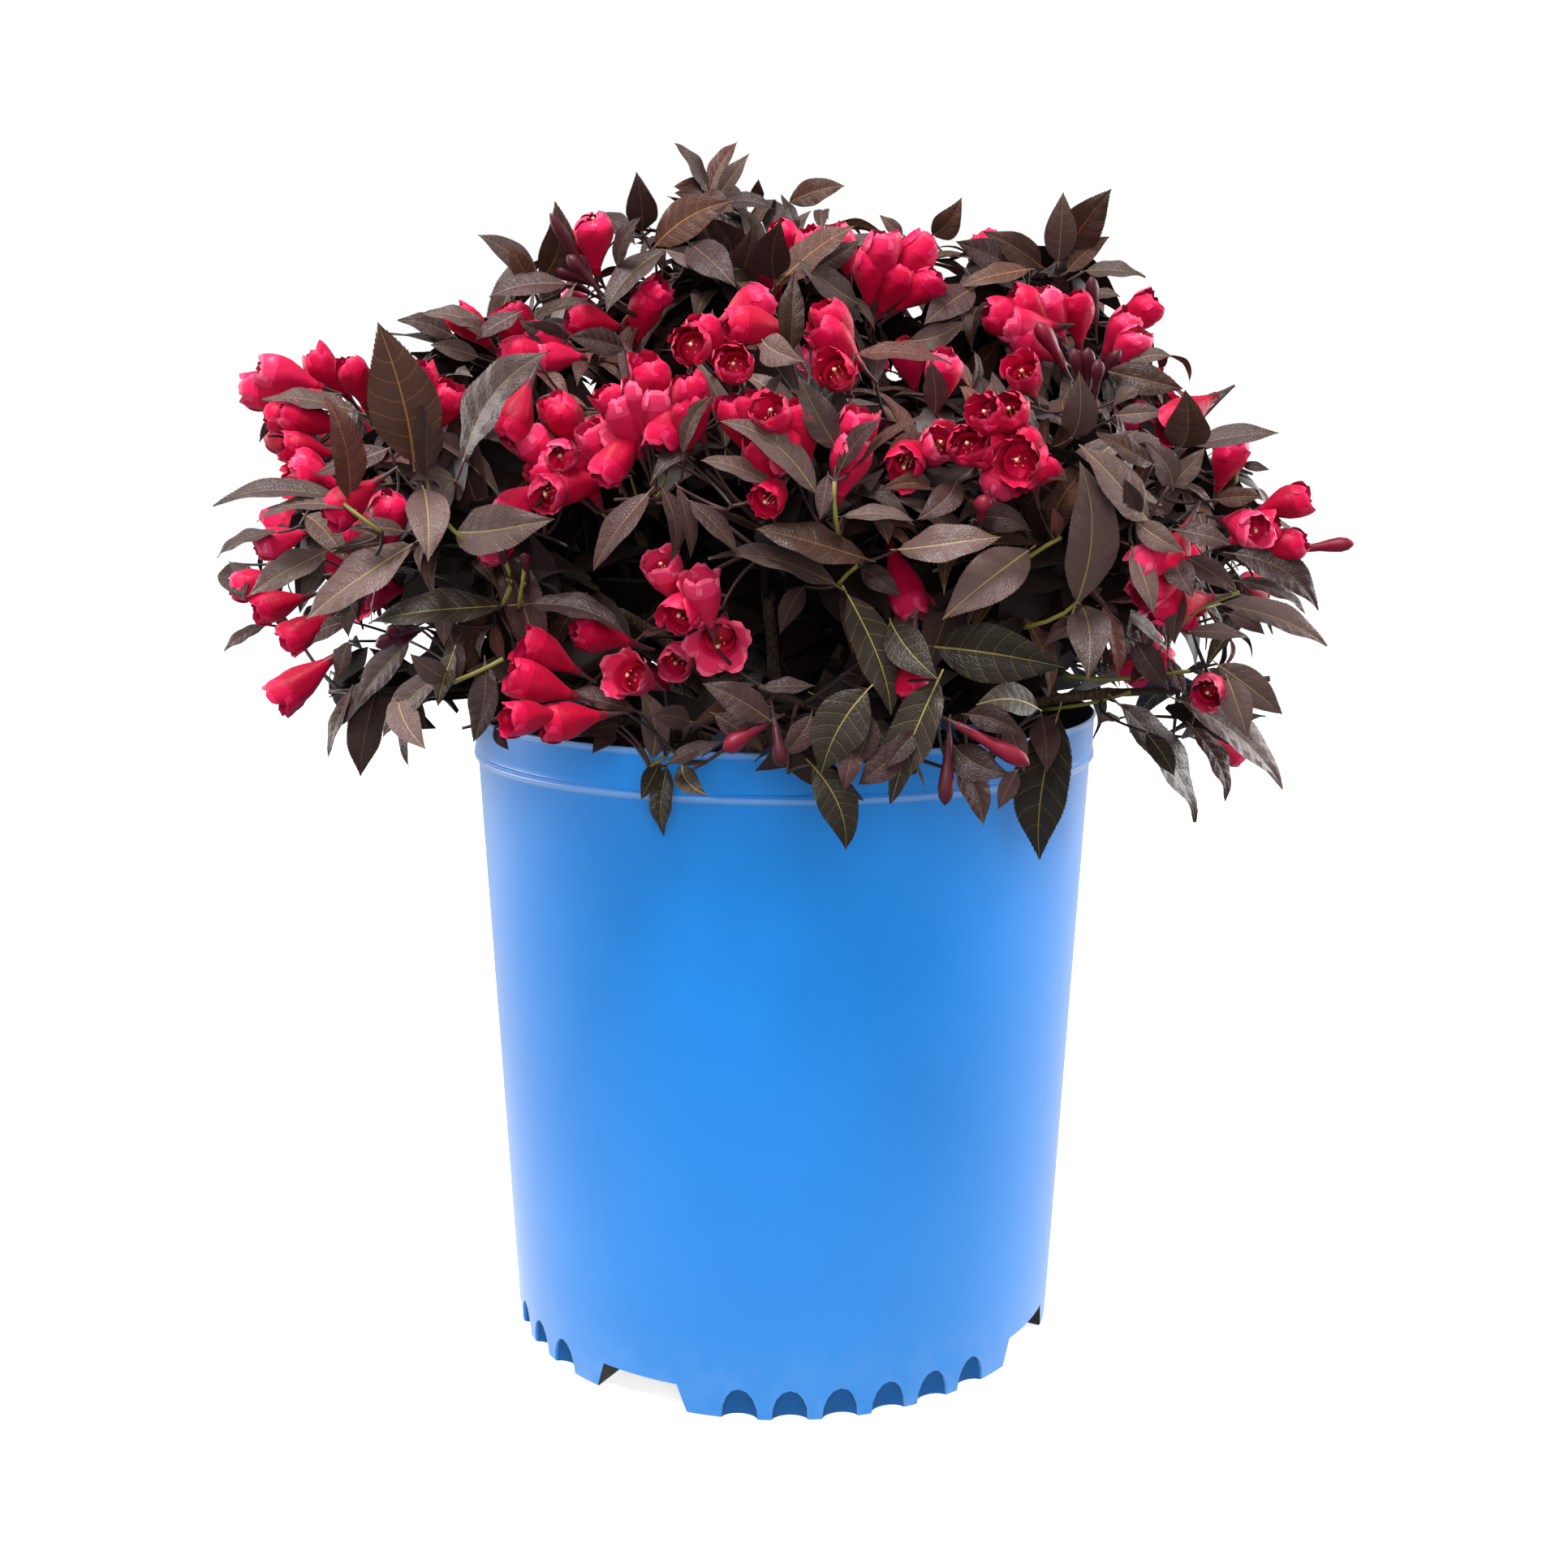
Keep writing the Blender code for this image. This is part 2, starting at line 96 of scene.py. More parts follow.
# %% Camera
PHOTO_SIDE = 1932                 # the photograph is square, in pixels
FOCAL_LENGTH = 2242               # in the same pixels
SENSOR_WIDTH = 36                 # in millimetres
CAMERA_PLACE = Vector((0.0, -0.662, 0.317))
CAMERA_DIP = math.radians(10.16)  # below the horizon
CAMERA_ROLL = math.radians(0.155)

camera_data = bpy.data.cameras.new("camera")
camera_data.sensor_width = SENSOR_WIDTH
camera_data.lens = FOCAL_LENGTH / PHOTO_SIDE * camera_data.sensor_width
camera = in_scene("camera", camera_data)
camera.matrix_world = (
    Matrix.Translation(CAMERA_PLACE)
    @ Matrix.Rotation(math.pi / 2 - CAMERA_DIP, 4, "X")
    @ Matrix.Rotation(CAMERA_ROLL, 4, "Z")
)
bpy.context.scene.camera = camera
camera_turn = np.array(camera.matrix_world.to_3x3())


def sight(spot):
    """The direction of the sight line through a spot of the photograph."""
    across = (spot[0] - PHOTO_SIDE / 2) / FOCAL_LENGTH
    down = (spot[1] - PHOTO_SIDE / 2) / FOCAL_LENGTH
    return camera.matrix_world.to_3x3() @ Vector((across, -down, -1.0))


def at_depth(spot, y):
    """The point on that sight line which lies at the depth y of the scene."""
    line = sight(spot)
    return CAMERA_PLACE + line * ((y - CAMERA_PLACE.y) / line.y)


def seen_at(points):
    """Where points of the scene fall in the photograph, and how far off they are."""
    local = (points - np.array(CAMERA_PLACE)) @ camera_turn
    far = -local[..., 2]
    across = PHOTO_SIDE / 2 + FOCAL_LENGTH * local[..., 0] / far
    down = PHOTO_SIDE / 2 - FOCAL_LENGTH * local[..., 1] / far
    return across, down, far


print(f"camera: {camera_data.lens:.2f} mm lens, {CAMERA_PLACE.length:.3f} m from the pot's foot")

# %% [markdown]
# ## Sums on sockets
# A procedural finish is a sum of patterns. Written node by node it is hard to read, so one small
# class wraps a node's output and turns Python's sum and product into Math nodes. One method adds
# any other node, with its settings and the values or links of its sockets.

# %% Finishes as Python expressions


class Signal:
    """A node's output that can stand in a Python sum."""

    def __init__(self, finish, socket):
        self.finish = finish
        self.socket = socket

    def math(self, operation, other):
        return self.finish.add("ShaderNodeMath", {0: self, 1: other}, operation=operation)

    def __add__(self, other):
        return self.math("ADD", other)

    def __mul__(self, other):
        return self.math("MULTIPLY", other)


class Finish:
    """A material with its shader, and one way to add and join nodes."""

    def __init__(self, name, colour, roughness, **plain):
        self.material = bpy.data.materials.new(name)
        self.material.use_nodes = True
        self.tree = self.material.node_tree
        self.shader = self.tree.nodes["Principled BSDF"]
        self.shader.inputs["Base Color"].default_value = (*colour, 1)
        self.shader.inputs["Roughness"].default_value = roughness
        for socket, value in plain.items():
            self.shader.inputs[socket.replace("_", " ")].default_value = value
        self.material.diffuse_color = (*colour, 1)

    def add(self, kind, sockets=None, output=0, **settings):
        node = self.tree.nodes.new(kind)
        for name, value in settings.items():
            setattr(node, name, value)
        for name, value in (sockets or {}).items():
            if isinstance(value, Signal):
                self.tree.links.new(value.socket, node.inputs[name])
            else:
                node.inputs[name].default_value = value
        return Signal(self, node.outputs[output])

    def place(self):
        """The point on the object, in metres."""
        return self.add("ShaderNodeTexCoord", output="Object")

    def mottle(self, scale, detail=2.0, stretch=(1, 1, 1)):
        """Cloudy noise of about `scale` patches to the metre."""
        stretched = self.add("ShaderNodeMapping", {"Vector": self.place(), "Scale": stretch})
        return self.add("ShaderNodeTexNoise", {"Vector": stretched, "Scale": scale, "Detail": detail})

    def between(self, mask, low, high):
        """The mask, stretched so that `low` becomes 0 and `high` becomes 1."""
        return self.add("ShaderNodeMapRange", {"Value": mask, "From Min": low, "From Max": high})

    def blend(self, mask, first, second):
        """From the first colour to the second as the mask goes from 0 to 1."""
        first, second = ((*c, 1) if isinstance(c, tuple) else c for c in (first, second))
        return self.add("ShaderNodeMix", {"Factor": mask, 6: first, 7: second}, output=2, data_type="RGBA")

    def drive(self, socket, signal):
        self.tree.links.new(signal.socket, self.shader.inputs[socket])

    def relief(self, height, depth, strength=1.0):
        """A bump of that depth in metres, where height runs from 0 to 1."""
        self.drive("Normal", self.add("ShaderNodeBump", {"Strength": strength, "Distance": depth, "Height": height}))


# %% Meshes from arrays


def turns(sides):
    """Evenly spaced angles of a full circle."""
    return np.arange(sides) * math.tau / sides


def ring_quads(rings, sides):
    """Four-sided faces between rings of points that lie one after the other."""
    k = np.arange(sides)
    n = (k + 1) % sides
    return np.concatenate([
        np.stack([r * sides + k, r * sides + n, (r + 1) * sides + n, (r + 1) * sides + k], 1) for r in range(rings - 1)
    ])


def fan(sides, start, middle):
    """Triangles from a ring of points that begins at `start` to one point in its middle."""
    k = np.arange(sides)
    return np.stack([start + k, start + (k + 1) % sides, np.full(sides, middle)], 1)


def mesh_object(name, points, quads, triangles, materials, quad_slots=0, triangle_slots=0):
    """One smooth object from arrays of points, four-sided faces and three-sided faces."""
    mesh = bpy.data.meshes.new(name)
    mesh.vertices.add(len(points))
    mesh.vertices.foreach_set("co", np.asarray(points, np.float32).ravel())
    quads = np.asarray(quads, np.int32).reshape(-1, 4)
    triangles = np.asarray(triangles, np.int32).reshape(-1, 3)
    mesh.loops.add(quads.size + triangles.size)
    mesh.loops.foreach_set("vertex_index", np.concatenate([quads.ravel(), triangles.ravel()]))
    starts = np.concatenate([np.arange(len(quads)) * 4, quads.size + np.arange(len(triangles)) * 3])
    mesh.polygons.add(len(starts))
    mesh.polygons.foreach_set("loop_start", starts.astype(np.int32))
    slots = np.concatenate([np.broadcast_to(quad_slots, len(quads)), np.broadcast_to(triangle_slots, len(triangles))])
    mesh.polygons.foreach_set("material_index", slots.astype(np.int32))
    mesh.polygons.foreach_set("use_smooth", np.ones(len(starts), bool))
    for material in materials:
        mesh.materials.append(material)
    mesh.update(calc_edges=True)
    mesh.validate()
    return in_scene(name, mesh)


def triangles_in(obj):
    return sum(len(polygon.vertices) - 2 for polygon in obj.data.polygons)


def part_of_plant(obj, slot, *replaced):
    """Puts a finished piece on the frame in place of its solids."""
    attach(obj, "root")
    if replaced:
        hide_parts(*replaced)
    return obj


def join_crop(name, points, quads, triangles, quad_slots, triangle_slots, materials, slot, **places):
    """Many copies of one kind as a few pieces, none over the limit. Points come as (copies, points, 3)."""
    copies, each = points.shape[:2]
    weight = 2 * len(quads) + len(triangles)
    pieces = []
    parts = math.ceil(copies * weight / MOST_TRIANGLES)
    for number, chosen in enumerate(np.array_split(np.arange(copies), parts)):
        shift = (np.arange(len(chosen)) * each)[:, None, None]
        piece = mesh_object(
            name if parts == 1 else f"{name}_{number + 1}",
            points[chosen].reshape(-1, 3),
            np.asarray(quads).reshape(1, -1, 4) + shift,
            np.asarray(triangles).reshape(1, -1, 3) + shift,
            materials,
            np.broadcast_to(quad_slots, (copies, len(quads)))[chosen].ravel(),
            np.broadcast_to(triangle_slots, (copies, len(triangles)))[chosen].ravel(),
        )
        for place_name, values in places.items():
            layer = piece.data.attributes.new(place_name, "FLOAT_VECTOR", "POINT")
            layer.data.foreach_set("vector", values[chosen].astype(np.float32).ravel())
        pieces.append(part_of_plant(piece, slot))
    print(f"{name}: {copies} made, {copies * weight} triangles in {parts} piece(s)")
    return pieces


class Crop:
    """Many things of one kind, kept row by row until they become one mesh."""

    def __init__(self):
        self.rows = []

    def add(self, **row):
        self.rows.append(row)

    def column(self, name):
        return np.array([row[name] for row in self.rows], float)

    def __len__(self):
        return len(self.rows)


def unit(vectors):
    return vectors / np.maximum(np.linalg.norm(vectors, axis=-1, keepdims=True), SMALL)


def squared(hint, along):
    """The hint made square to the direction, as unit vectors."""
    return unit(hint - along * (hint * along).sum(-1, keepdims=True))


# %% [markdown]
# ## Daylight on white
# The plant is shown cut out on white, lit softly from all sides with the most light from above. A
# grey sky gives the even part, a large soft lamp overhead the direction, and two wide lamps behind
# the sides put the pale edge on pot and leaves that a white room gives. The white itself is a dome
# that only the camera sees. The floor glows a little, so that only a faint shadow is left on it.

# %% Sky, floor and lamps
SKY_STRENGTH = 0.42
FLOOR_HALF = 6.0
FLOOR_WHITE, FLOOR_GLOW = 0.85, 0.66
DOME_RADIUS = 7.0
# Each lamp: its place, what it is aimed at, size across, watts.
LAMPS = {
    "overhead": ((-0.25, -0.55, 1.45), (0, 0, 0.30), 0.60, 29),
    "left_edge": ((-1.15, 0.35, 0.55), (0, 0, 0.22), 0.90, 17),
    "right_edge": ((1.15, 0.35, 0.55), (0, 0, 0.22), 0.90, 22),
    "front_fill": ((0.1, -1.9, 0.7), (0, 0, 0.20), 1.00, 22),
}

bpy.context.scene.view_settings.view_transform = "Standard"
sky = bpy.data.worlds.new("white_sky")
bpy.context.scene.world = sky
sky.use_nodes = True
sky_light = sky.node_tree.nodes["Background"].inputs
sky_light["Color"].default_value = (1, 1, 1, 1)
sky_light["Strength"].default_value = SKY_STRENGTH

floor_white = Finish(
    "floor_white", (FLOOR_WHITE,) * 3, 0.9, Specular_IOR_Level=0.1, Emission_Color=(1, 1, 1, 1),
    Emission_Strength=FLOOR_GLOW,
)
floor_corners = [(x * FLOOR_HALF, y * FLOOR_HALF, 0) for x, y in ((-1, -1), (1, -1), (1, 1), (-1, 1))]
floor = mesh_object("floor", floor_corners, [(0, 1, 2, 3)], [], [floor_white.material])
floor.visible_diffuse = floor.visible_glossy = False
floor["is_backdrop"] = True

white = bpy.data.materials.new("dome_white")
white.use_nodes = True
white_nodes = white.node_tree.nodes
white_nodes.remove(white_nodes["Principled BSDF"])
glow = white_nodes.new("ShaderNodeEmission")
white.node_tree.links.new(glow.outputs[0], white_nodes["Material Output"].inputs["Surface"])
bpy.ops.mesh.primitive_uv_sphere_add(radius=DOME_RADIUS, segments=32, ring_count=16)
dome = bpy.context.object
dome.name = "white_dome"
dome.data.materials.append(white)
for kind in ("diffuse", "glossy", "transmission", "volume_scatter", "shadow"):
    setattr(dome, f"visible_{kind}", False)
dome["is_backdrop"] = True


def soft_lamp(name, place, aim, size, watts):
    light = bpy.data.lights.new(name, "AREA")
    light.shape = "DISK"
    light.size = size
    light.energy = watts
    lamp = in_scene(name, light)
    lamp.location = place
    lamp.rotation_euler = (Vector(aim) - Vector(place)).to_track_quat("-Z", "Y").to_euler()
    return lamp


lamps = {name: soft_lamp(name, *values) for name, values in LAMPS.items()}
lamps["front_fill"].visible_glossy = False
print("light: grey sky, a soft lamp overhead, two behind the sides and a weak one in front")

# %% [markdown]
# ## The pot
# A nursery pot is blown or moulded from thin plastic with a blue outside and a black inside. It is a
# turned shape, so its section is drawn once and swept round. The foot has four notches that let water
# out, and between them a row of scallops. One Boolean adds the walls that the notches need inside the
# pot, and one each cuts the notches and the scallops: a cut leaves the crisp arched edges that a
# displaced wall would not.

# %% Section of the pot
POT_STEPS = 180
FOOT_R, WALL_TOP_R, BEAD_R, BAND_R, LIP_R = 0.1009, 0.1110, 0.1125, 0.1119, 0.1127
WALL_TOP_Z, BEAD_Z, BEAD_TOP_Z, LIP_Z = 0.2112, 0.2128, 0.2142, 0.2266
FOOT_ROUND, BEAD_ROUND, BAND_ROUND = 0.0006, 0.0009, 0.0007   # how far the section's edges are rounded
POT_WALL = 0.0015
POT_FLOOR = 0.0020
FOOT_RING_R, FOOT_RING_Z = 0.0940, 0.0132
NOTCH_TURN = -29.0                # degrees from the front, towards +X
NOTCHES = 4
NOTCH_FOOT_HALF, NOTCH_ROOF_HALF, NOTCH_HEIGHT, NOTCH_BACK_R = 0.0190, 0.0148, 0.0100, 0.0800
NOTCH_WALL = 0.0018               # thickness of the walls round a notch, inside the pot
SCALLOPS_PER_SIDE = 6
SCALLOP_PITCH = 9.7               # degrees
SCALLOP_SIZE = (0.0047, 0.0064, 0.0112)   # deep, half wide, tall
SCALLOP_OUT = 0.0004              # their middles stand this far outside the foot
SCALLOP_RINGS, SCALLOP_SIDES = 7, 20


def arc(centre, radius, start, end, steps):
    """Points of a round edge in the section, with angles in degrees from +R towards +Z."""
    angles = [math.radians(start + (end - start) * k / steps) for k in range(steps + 1)]
    return [(centre[0] + radius * math.cos(a), centre[1] + radius * math.sin(a)) for a in angles]


inner_top = WALL_TOP_R - POT_WALL
outside = [(0.0, 0.0), (FOOT_R - FOOT_ROUND, 0.0), (FOOT_R, FOOT_ROUND)]
outside += [
    (FOOT_R + (WALL_TOP_R - FOOT_R) * t, FOOT_ROUND + (WALL_TOP_Z - 2 * FOOT_ROUND) * t)
    for t in (0.07, 0.3, 0.55, 0.8, 1.0)
]
outside += arc((BEAD_R - BEAD_ROUND, BEAD_Z + 0.0002), BEAD_ROUND, -70, 75, 6)
outside += arc((BAND_R + BAND_ROUND, BEAD_TOP_Z + 0.0010), BAND_ROUND, 250, 180, 3)
outside += [(BAND_R + 0.0001, 0.2170), (BAND_R + 0.0002, 0.2235)]
outside += arc((LIP_R - BAND_ROUND, LIP_Z + BAND_ROUND), BAND_ROUND, -80, 100, 6)
inside = [
    (BAND_R - POT_WALL, LIP_Z + 0.0004), (BAND_R - POT_WALL, BEAD_TOP_Z + 0.0010), (inner_top, WALL_TOP_Z),
    (FOOT_R - POT_WALL + FOOT_ROUND, FOOT_RING_Z), (FOOT_RING_R, FOOT_RING_Z - 0.0020), (FOOT_RING_R, POT_FLOOR),
    (0.0, POT_FLOOR),
]
print(f"pot section: {len(outside)} points outside, {len(inside)} inside")

# %% Turned wall


def turned_mesh(name, section, steps, materials, outer_rows):
    """A closed surface turned about Z from a section whose first and last points lie on the axis."""
    ring = np.array(section[1:-1])
    around = np.stack([np.sin(turns(steps)), -np.cos(turns(steps))], 1)
    body = np.concatenate(
        [ring[:, None, :1] * around[None], np.broadcast_to(ring[:, None, 1:], (len(ring), steps, 1))], 2
    )
    points = np.concatenate([body.reshape(-1, 3), [(0, 0, section[0][1]), (0, 0, section[-1][1])]])
    under = fan(steps, 0, len(points) - 2)[:, [1, 0, 2]]
    over = fan(steps, (len(ring) - 1) * steps, len(points) - 1)
    slots = np.repeat(np.arange(len(ring) - 1) >= outer_rows, steps)
    return mesh_object(
        name, points, ring_quads(len(ring), steps), np.concatenate([under, over]), materials, slots,
        np.repeat([0, 1], steps),
    )


blue = Finish(
    "pot_blue_plastic", (0.001, 0.225, 0.730), 0.36, Specular_IOR_Level=0.50, Sheen_Weight=0.50, Sheen_Roughness=0.42
)
black = Finish("pot_black_plastic", (0.012, 0.012, 0.014), 0.5)
# A darker blue for the pockets of the foot: painted shade in those hollows.
pocket_shade = Finish("pot_pockets_painted_shade", (0.002, 0.110, 0.360), 0.55)
pot_finishes = [blue.material, black.material, pocket_shade.material]
pot = turned_mesh("pot_shell", outside + inside, POT_STEPS, pot_finishes, len(outside) - 2)

# %% Notches and scallops


def around_foot(turn, out, side, up):
    """A point given as outwards, sideways and up at an angle round the pot."""
    return (out * math.sin(turn) + side * math.cos(turn), -out * math.cos(turn) + side * math.sin(turn), up)


def notch_solid(turn, near, far, low, high, foot_half, roof_half):
    corners = []
    for out in (near, far):
        for side, up in ((-foot_half, low), (foot_half, low), (roof_half, high), (-roof_half, high)):
            corners.append(around_foot(turn, out, side, up))
    return corners, [(0, 3, 2, 1), (4, 5, 6, 7), (0, 1, 5, 4), (1, 2, 6, 5), (2, 3, 7, 6), (3, 0, 4, 7)]


def scallop_solid(turn):
    deep, wide, tall = SCALLOP_SIZE
    rings, sides = SCALLOP_RINGS, SCALLOP_SIDES
    points = [around_foot(turn, FOOT_R + SCALLOP_OUT, 0, tall * s) for s in (1, -1)]
    faces = []
    for r in range(1, rings + 1):
        polar = math.pi * r / (rings + 1)
        for a in turns(sides):
            out = FOOT_R + SCALLOP_OUT + deep * math.sin(polar) * math.cos(a)
            points.append(around_foot(turn, out, wide * math.sin(polar) * math.sin(a), tall * math.cos(polar)))
    for s in range(sides):
        n = (s + 1) % sides
        faces.append((0, 2 + s, 2 + n))
        faces.append((1, 2 + (rings - 1) * sides + n, 2 + (rings - 1) * sides + s))
        for r in range(rings - 1):
            a, b = 2 + r * sides, 2 + (r + 1) * sides
            faces.append((a + s, b + s, b + n, a + n))
    return points, faces


def helper_object(name, solids, material):
    points, faces = [], []
    for solid_points, solid_faces in solids:
        faces += [tuple(i + len(points) for i in face) for face in solid_faces]
        points += solid_points
    mesh = bpy.data.meshes.new(name)
    mesh.from_pydata(points, [], faces)
    mesh.materials.append(material)
    return in_scene(name, mesh)


def cut_or_join(obj, tool, operation):
    """Applies one Boolean and throws the tool away."""
    step = obj.modifiers.new(tool.name, "BOOLEAN")
    step.operation = operation
    step.solver = "EXACT"
    step.object = tool
    result = bpy.data.meshes.new_from_object(obj.evaluated_get(bpy.context.evaluated_depsgraph_get()))
    obj.modifiers.clear()
    obj.data = result
    bpy.data.objects.remove(tool)


notch_turns = [math.radians(NOTCH_TURN + 360 / NOTCHES * n) for n in range(NOTCHES)]
housings = [
    notch_solid(turn, NOTCH_BACK_R - 0.0016, FOOT_R - 0.004, POT_FLOOR * 0.4, NOTCH_HEIGHT + NOTCH_WALL,
                NOTCH_FOOT_HALF + NOTCH_WALL, NOTCH_ROOF_HALF + NOTCH_WALL)
    for turn in notch_turns
]
notches = [
    notch_solid(turn, NOTCH_BACK_R, FOOT_R + 0.006, -0.002, NOTCH_HEIGHT, NOTCH_FOOT_HALF, NOTCH_ROOF_HALF)
    for turn in notch_turns
]
scallops = [
    scallop_solid(turn + math.radians(45 + (s - (SCALLOPS_PER_SIDE - 1) / 2) * SCALLOP_PITCH))
    for turn in notch_turns for s in range(SCALLOPS_PER_SIDE)
]
cut_or_join(pot, helper_object("housings", housings, black.material), "UNION")
cut_or_join(pot, helper_object("notches", notches, black.material), "DIFFERENCE")
cut_or_join(pot, helper_object("scallops", scallops, blue.material), "DIFFERENCE")

POCKET_TOP, POCKET_DEEPEST = 0.0125, 0.006         # how high and how deep the foot's pockets reach
POCKET_OUT = 0.0004                                # they begin this far inside the wall
POCKET_FACING = 0.2                                # and face outwards by at least this share
SHARP_ANGLE = math.radians(32)
# Faces in the pockets of the foot take that darker blue: painted shade.
shade_painted = 0
for polygon in pot.data.polygons:
    polygon.use_smooth = True
    x, y, z = polygon.center
    across = math.hypot(x, y)
    faces_out = (polygon.normal.x * x + polygon.normal.y * y) / across if across > 0 else 0
    in_wall = FOOT_R - POCKET_DEEPEST < across < FOOT_R - POCKET_OUT
    if z < POCKET_TOP and in_wall and faces_out > POCKET_FACING:
        polygon.material_index = pot_finishes.index(pocket_shade.material)
        shade_painted += 1
print(f"faces in the pockets of the foot: {shade_painted}")
pot.data.set_sharp_from_angle(angle=SHARP_ANGLE)
part_of_plant(pot, "pot", "pot")
print(f"pot: {triangles_in(pot)} triangles")

# %% [markdown]
# The plastic is one even blue with a soft satin gloss. What keeps it from looking like a computer's
# blue is small: a faint cloudiness in the colour, rubbed patches that are duller, a fine grain and a
# little dust near the foot. Paler bands on the bead and the lip are painted highlights, and the blue
# grows paler towards the foot as painted light from below.

# %% Blue and black plastic
PALE_EDGES = (0.2114, 0.2256)     # where the bead and the lip are painted paler, as highlights
PALE_HEIGHT, PALE_FADE = 0.0020, 0.0008
# how high the dust reaches, and how high the painted light from below reaches
DUST_TOP, PAINTED_LIGHT_TOP = 0.030, 0.150
PALE_BLUE = (0.30, 0.48, 0.80)
cloud = blue.between(blue.mottle(14, 3), 0.35, 0.65)
rub = blue.between(blue.mottle(60, 4, (1, 1, 0.5)), 0.55, 0.75)
grain = blue.mottle(1800, 2)
height = blue.add("ShaderNodeSeparateXYZ", {"Vector": blue.place()}, output=2)
dust = blue.between(height, DUST_TOP, 0.0) * blue.between(blue.mottle(90, 3), 0.35, 0.7)
tone = blue.blend(cloud, (0.0005, 0.215, 0.700), (0.003, 0.235, 0.750))
# The blue grows paler towards the foot: painted light from below. Only the mottled dust at the very foot is real dust.
dust_and_painted_light = blue.between(height, PAINTED_LIGHT_TOP, 0.0) * 0.10 + dust * 0.20
# Pale bands on the bead and the lip: painted highlights.
for low in PALE_EDGES:
    high = low + PALE_HEIGHT
    painted_highlight = blue.between(height, low, low + PALE_FADE) * blue.between(height, high + PALE_FADE, high)
    dust_and_painted_light = dust_and_painted_light + painted_highlight * 0.45
blue.drive("Base Color", blue.blend(dust_and_painted_light, tone, PALE_BLUE))
blue.drive("Roughness", rub * 0.10 + grain * 0.06 + 0.32)
blue.relief(grain * 0.5 + cloud * 0.5, 0.00006)
black.drive("Roughness", black.between(black.mottle(120, 3), 0.3, 0.7) * 0.2 + 0.42)
# The darker blue in the pockets of the foot is painted shade.
print("pot finishes: satin blue outside, black inside, soiled in the pockets of the foot")

# %% [markdown]
# ## Potting mix
# Inside the rim lies loose, dark potting mix with shreds of bark in it. Only its top can be seen, so
# the top is a disc of rings pushed up and down by noise, with a few hundred chips lying on it.

# %% Potting mix
rng = np.random.default_rng(SEED)
_, soil_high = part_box("root_ball")
SOIL_R = soil_high.x - 0.0004
SOIL_TOP = soil_high.z
SOIL_DISH = 0.0016                # how much lower the mix lies at the wall
SOIL_FOOT_Z = 0.0140
SOIL_RINGS, SOIL_SIDES = 34, 96


def soil_height(x, y):
    lumps = noise.noise(Vector((x * 160, y * 160, 0.3))) * 0.0014
    crumbs = noise.noise(Vector((x * 520, y * 520, 4.1))) * 0.0009
    return SOIL_TOP - SOIL_DISH * (math.hypot(x, y) / SOIL_R) ** 2 + lumps + crumbs


mix = Finish("potting_mix", (0.040, 0.027, 0.019), 0.95, Specular_IOR_Level=0.25)
crumb_tone = mix.between(mix.mottle(700, 4), 0.35, 0.68)
mix.drive("Base Color", mix.blend(crumb_tone, (0.012, 0.008, 0.006), (0.075, 0.050, 0.032)))
mix.relief(crumb_tone, 0.0008)
soil_points = [(0.0, 0.0, soil_height(0, 0))]
for ring in range(1, SOIL_RINGS + 1):
    for a in turns(SOIL_SIDES):
        x, y = (SOIL_R * (ring / SOIL_RINGS) * part for part in (math.cos(a), math.sin(a)))
        soil_points.append((x, y, soil_height(x, y)))
for r, z in ((SOIL_R - 0.0012, SOIL_TOP - 0.030), (SOIL_R - 0.0090, SOIL_FOOT_Z)):
    soil_points += [(r * math.cos(a), r * math.sin(a), z) for a in turns(SOIL_SIDES)]
soil_points.append((0, 0, SOIL_FOOT_Z))
soil_quads = ring_quads(SOIL_RINGS + 2, SOIL_SIDES)[:, [0, 3, 2, 1]] + 1
soil_triangles = np.concatenate([
    fan(SOIL_SIDES, 1, 0)[:, [2, 0, 1]],
    fan(SOIL_SIDES, 1 + (SOIL_RINGS + 1) * SOIL_SIDES, len(soil_points) - 1)[:, [1, 0, 2]],
])
soil = mesh_object("potting_mix", soil_points, soil_quads, soil_triangles, [mix.material])
part_of_plant(soil, "potting_mix", "root_ball")

# %% Chips of bark on the mix
CHIPS = 420
CHIP_SIZES = ((1.2, 4.2), (0.6, 1.8), (0.25, 0.7))   # half length, half width, half thickness in mm
CHIP_LIFT, CHIP_DEEPEST = 0.0005, 0.004
chip = Finish("bark_chips", (0.070, 0.040, 0.024), 0.9)
chip_r = SOIL_R * 0.97 * np.sqrt(rng.uniform(0.02, 1, CHIPS))
chip_a = rng.uniform(0, math.tau, CHIPS)
chip_place = np.stack([chip_r * np.cos(chip_a), chip_r * np.sin(chip_a), np.zeros(CHIPS)], 1)
chip_place[:, 2] = [soil_height(x, y) + CHIP_LIFT for x, y, _ in chip_place]
corner = np.array([(x, y, z) for x in (-1, 1) for y in (-1, 1) for z in (-1, 1)], float)
chip_size = np.stack([rng.uniform(least, most, CHIPS) for least, most in CHIP_SIZES], 1) * MM
chip_turn = unit(rng.normal(0, 1, (CHIPS, 3)) * (1, 1, 0.25))
chip_up = squared(rng.normal(0, 0.3, (CHIPS, 3)) + (0, 0, 1), chip_turn)
chip_side = np.cross(chip_up, chip_turn)
chip_corner = corner[None] * (1 + rng.uniform(-0.35, 0.2, (CHIPS, 8, 3))) * chip_size[:, None]
chip_points = chip_place[:, None]
for n, axis in enumerate((chip_turn, chip_side, chip_up)):
    chip_points = chip_points + axis[:, None] * chip_corner[..., n:n + 1]
chip_points[..., 2] = np.maximum(chip_points[..., 2], SOIL_TOP - CHIP_DEEPEST)
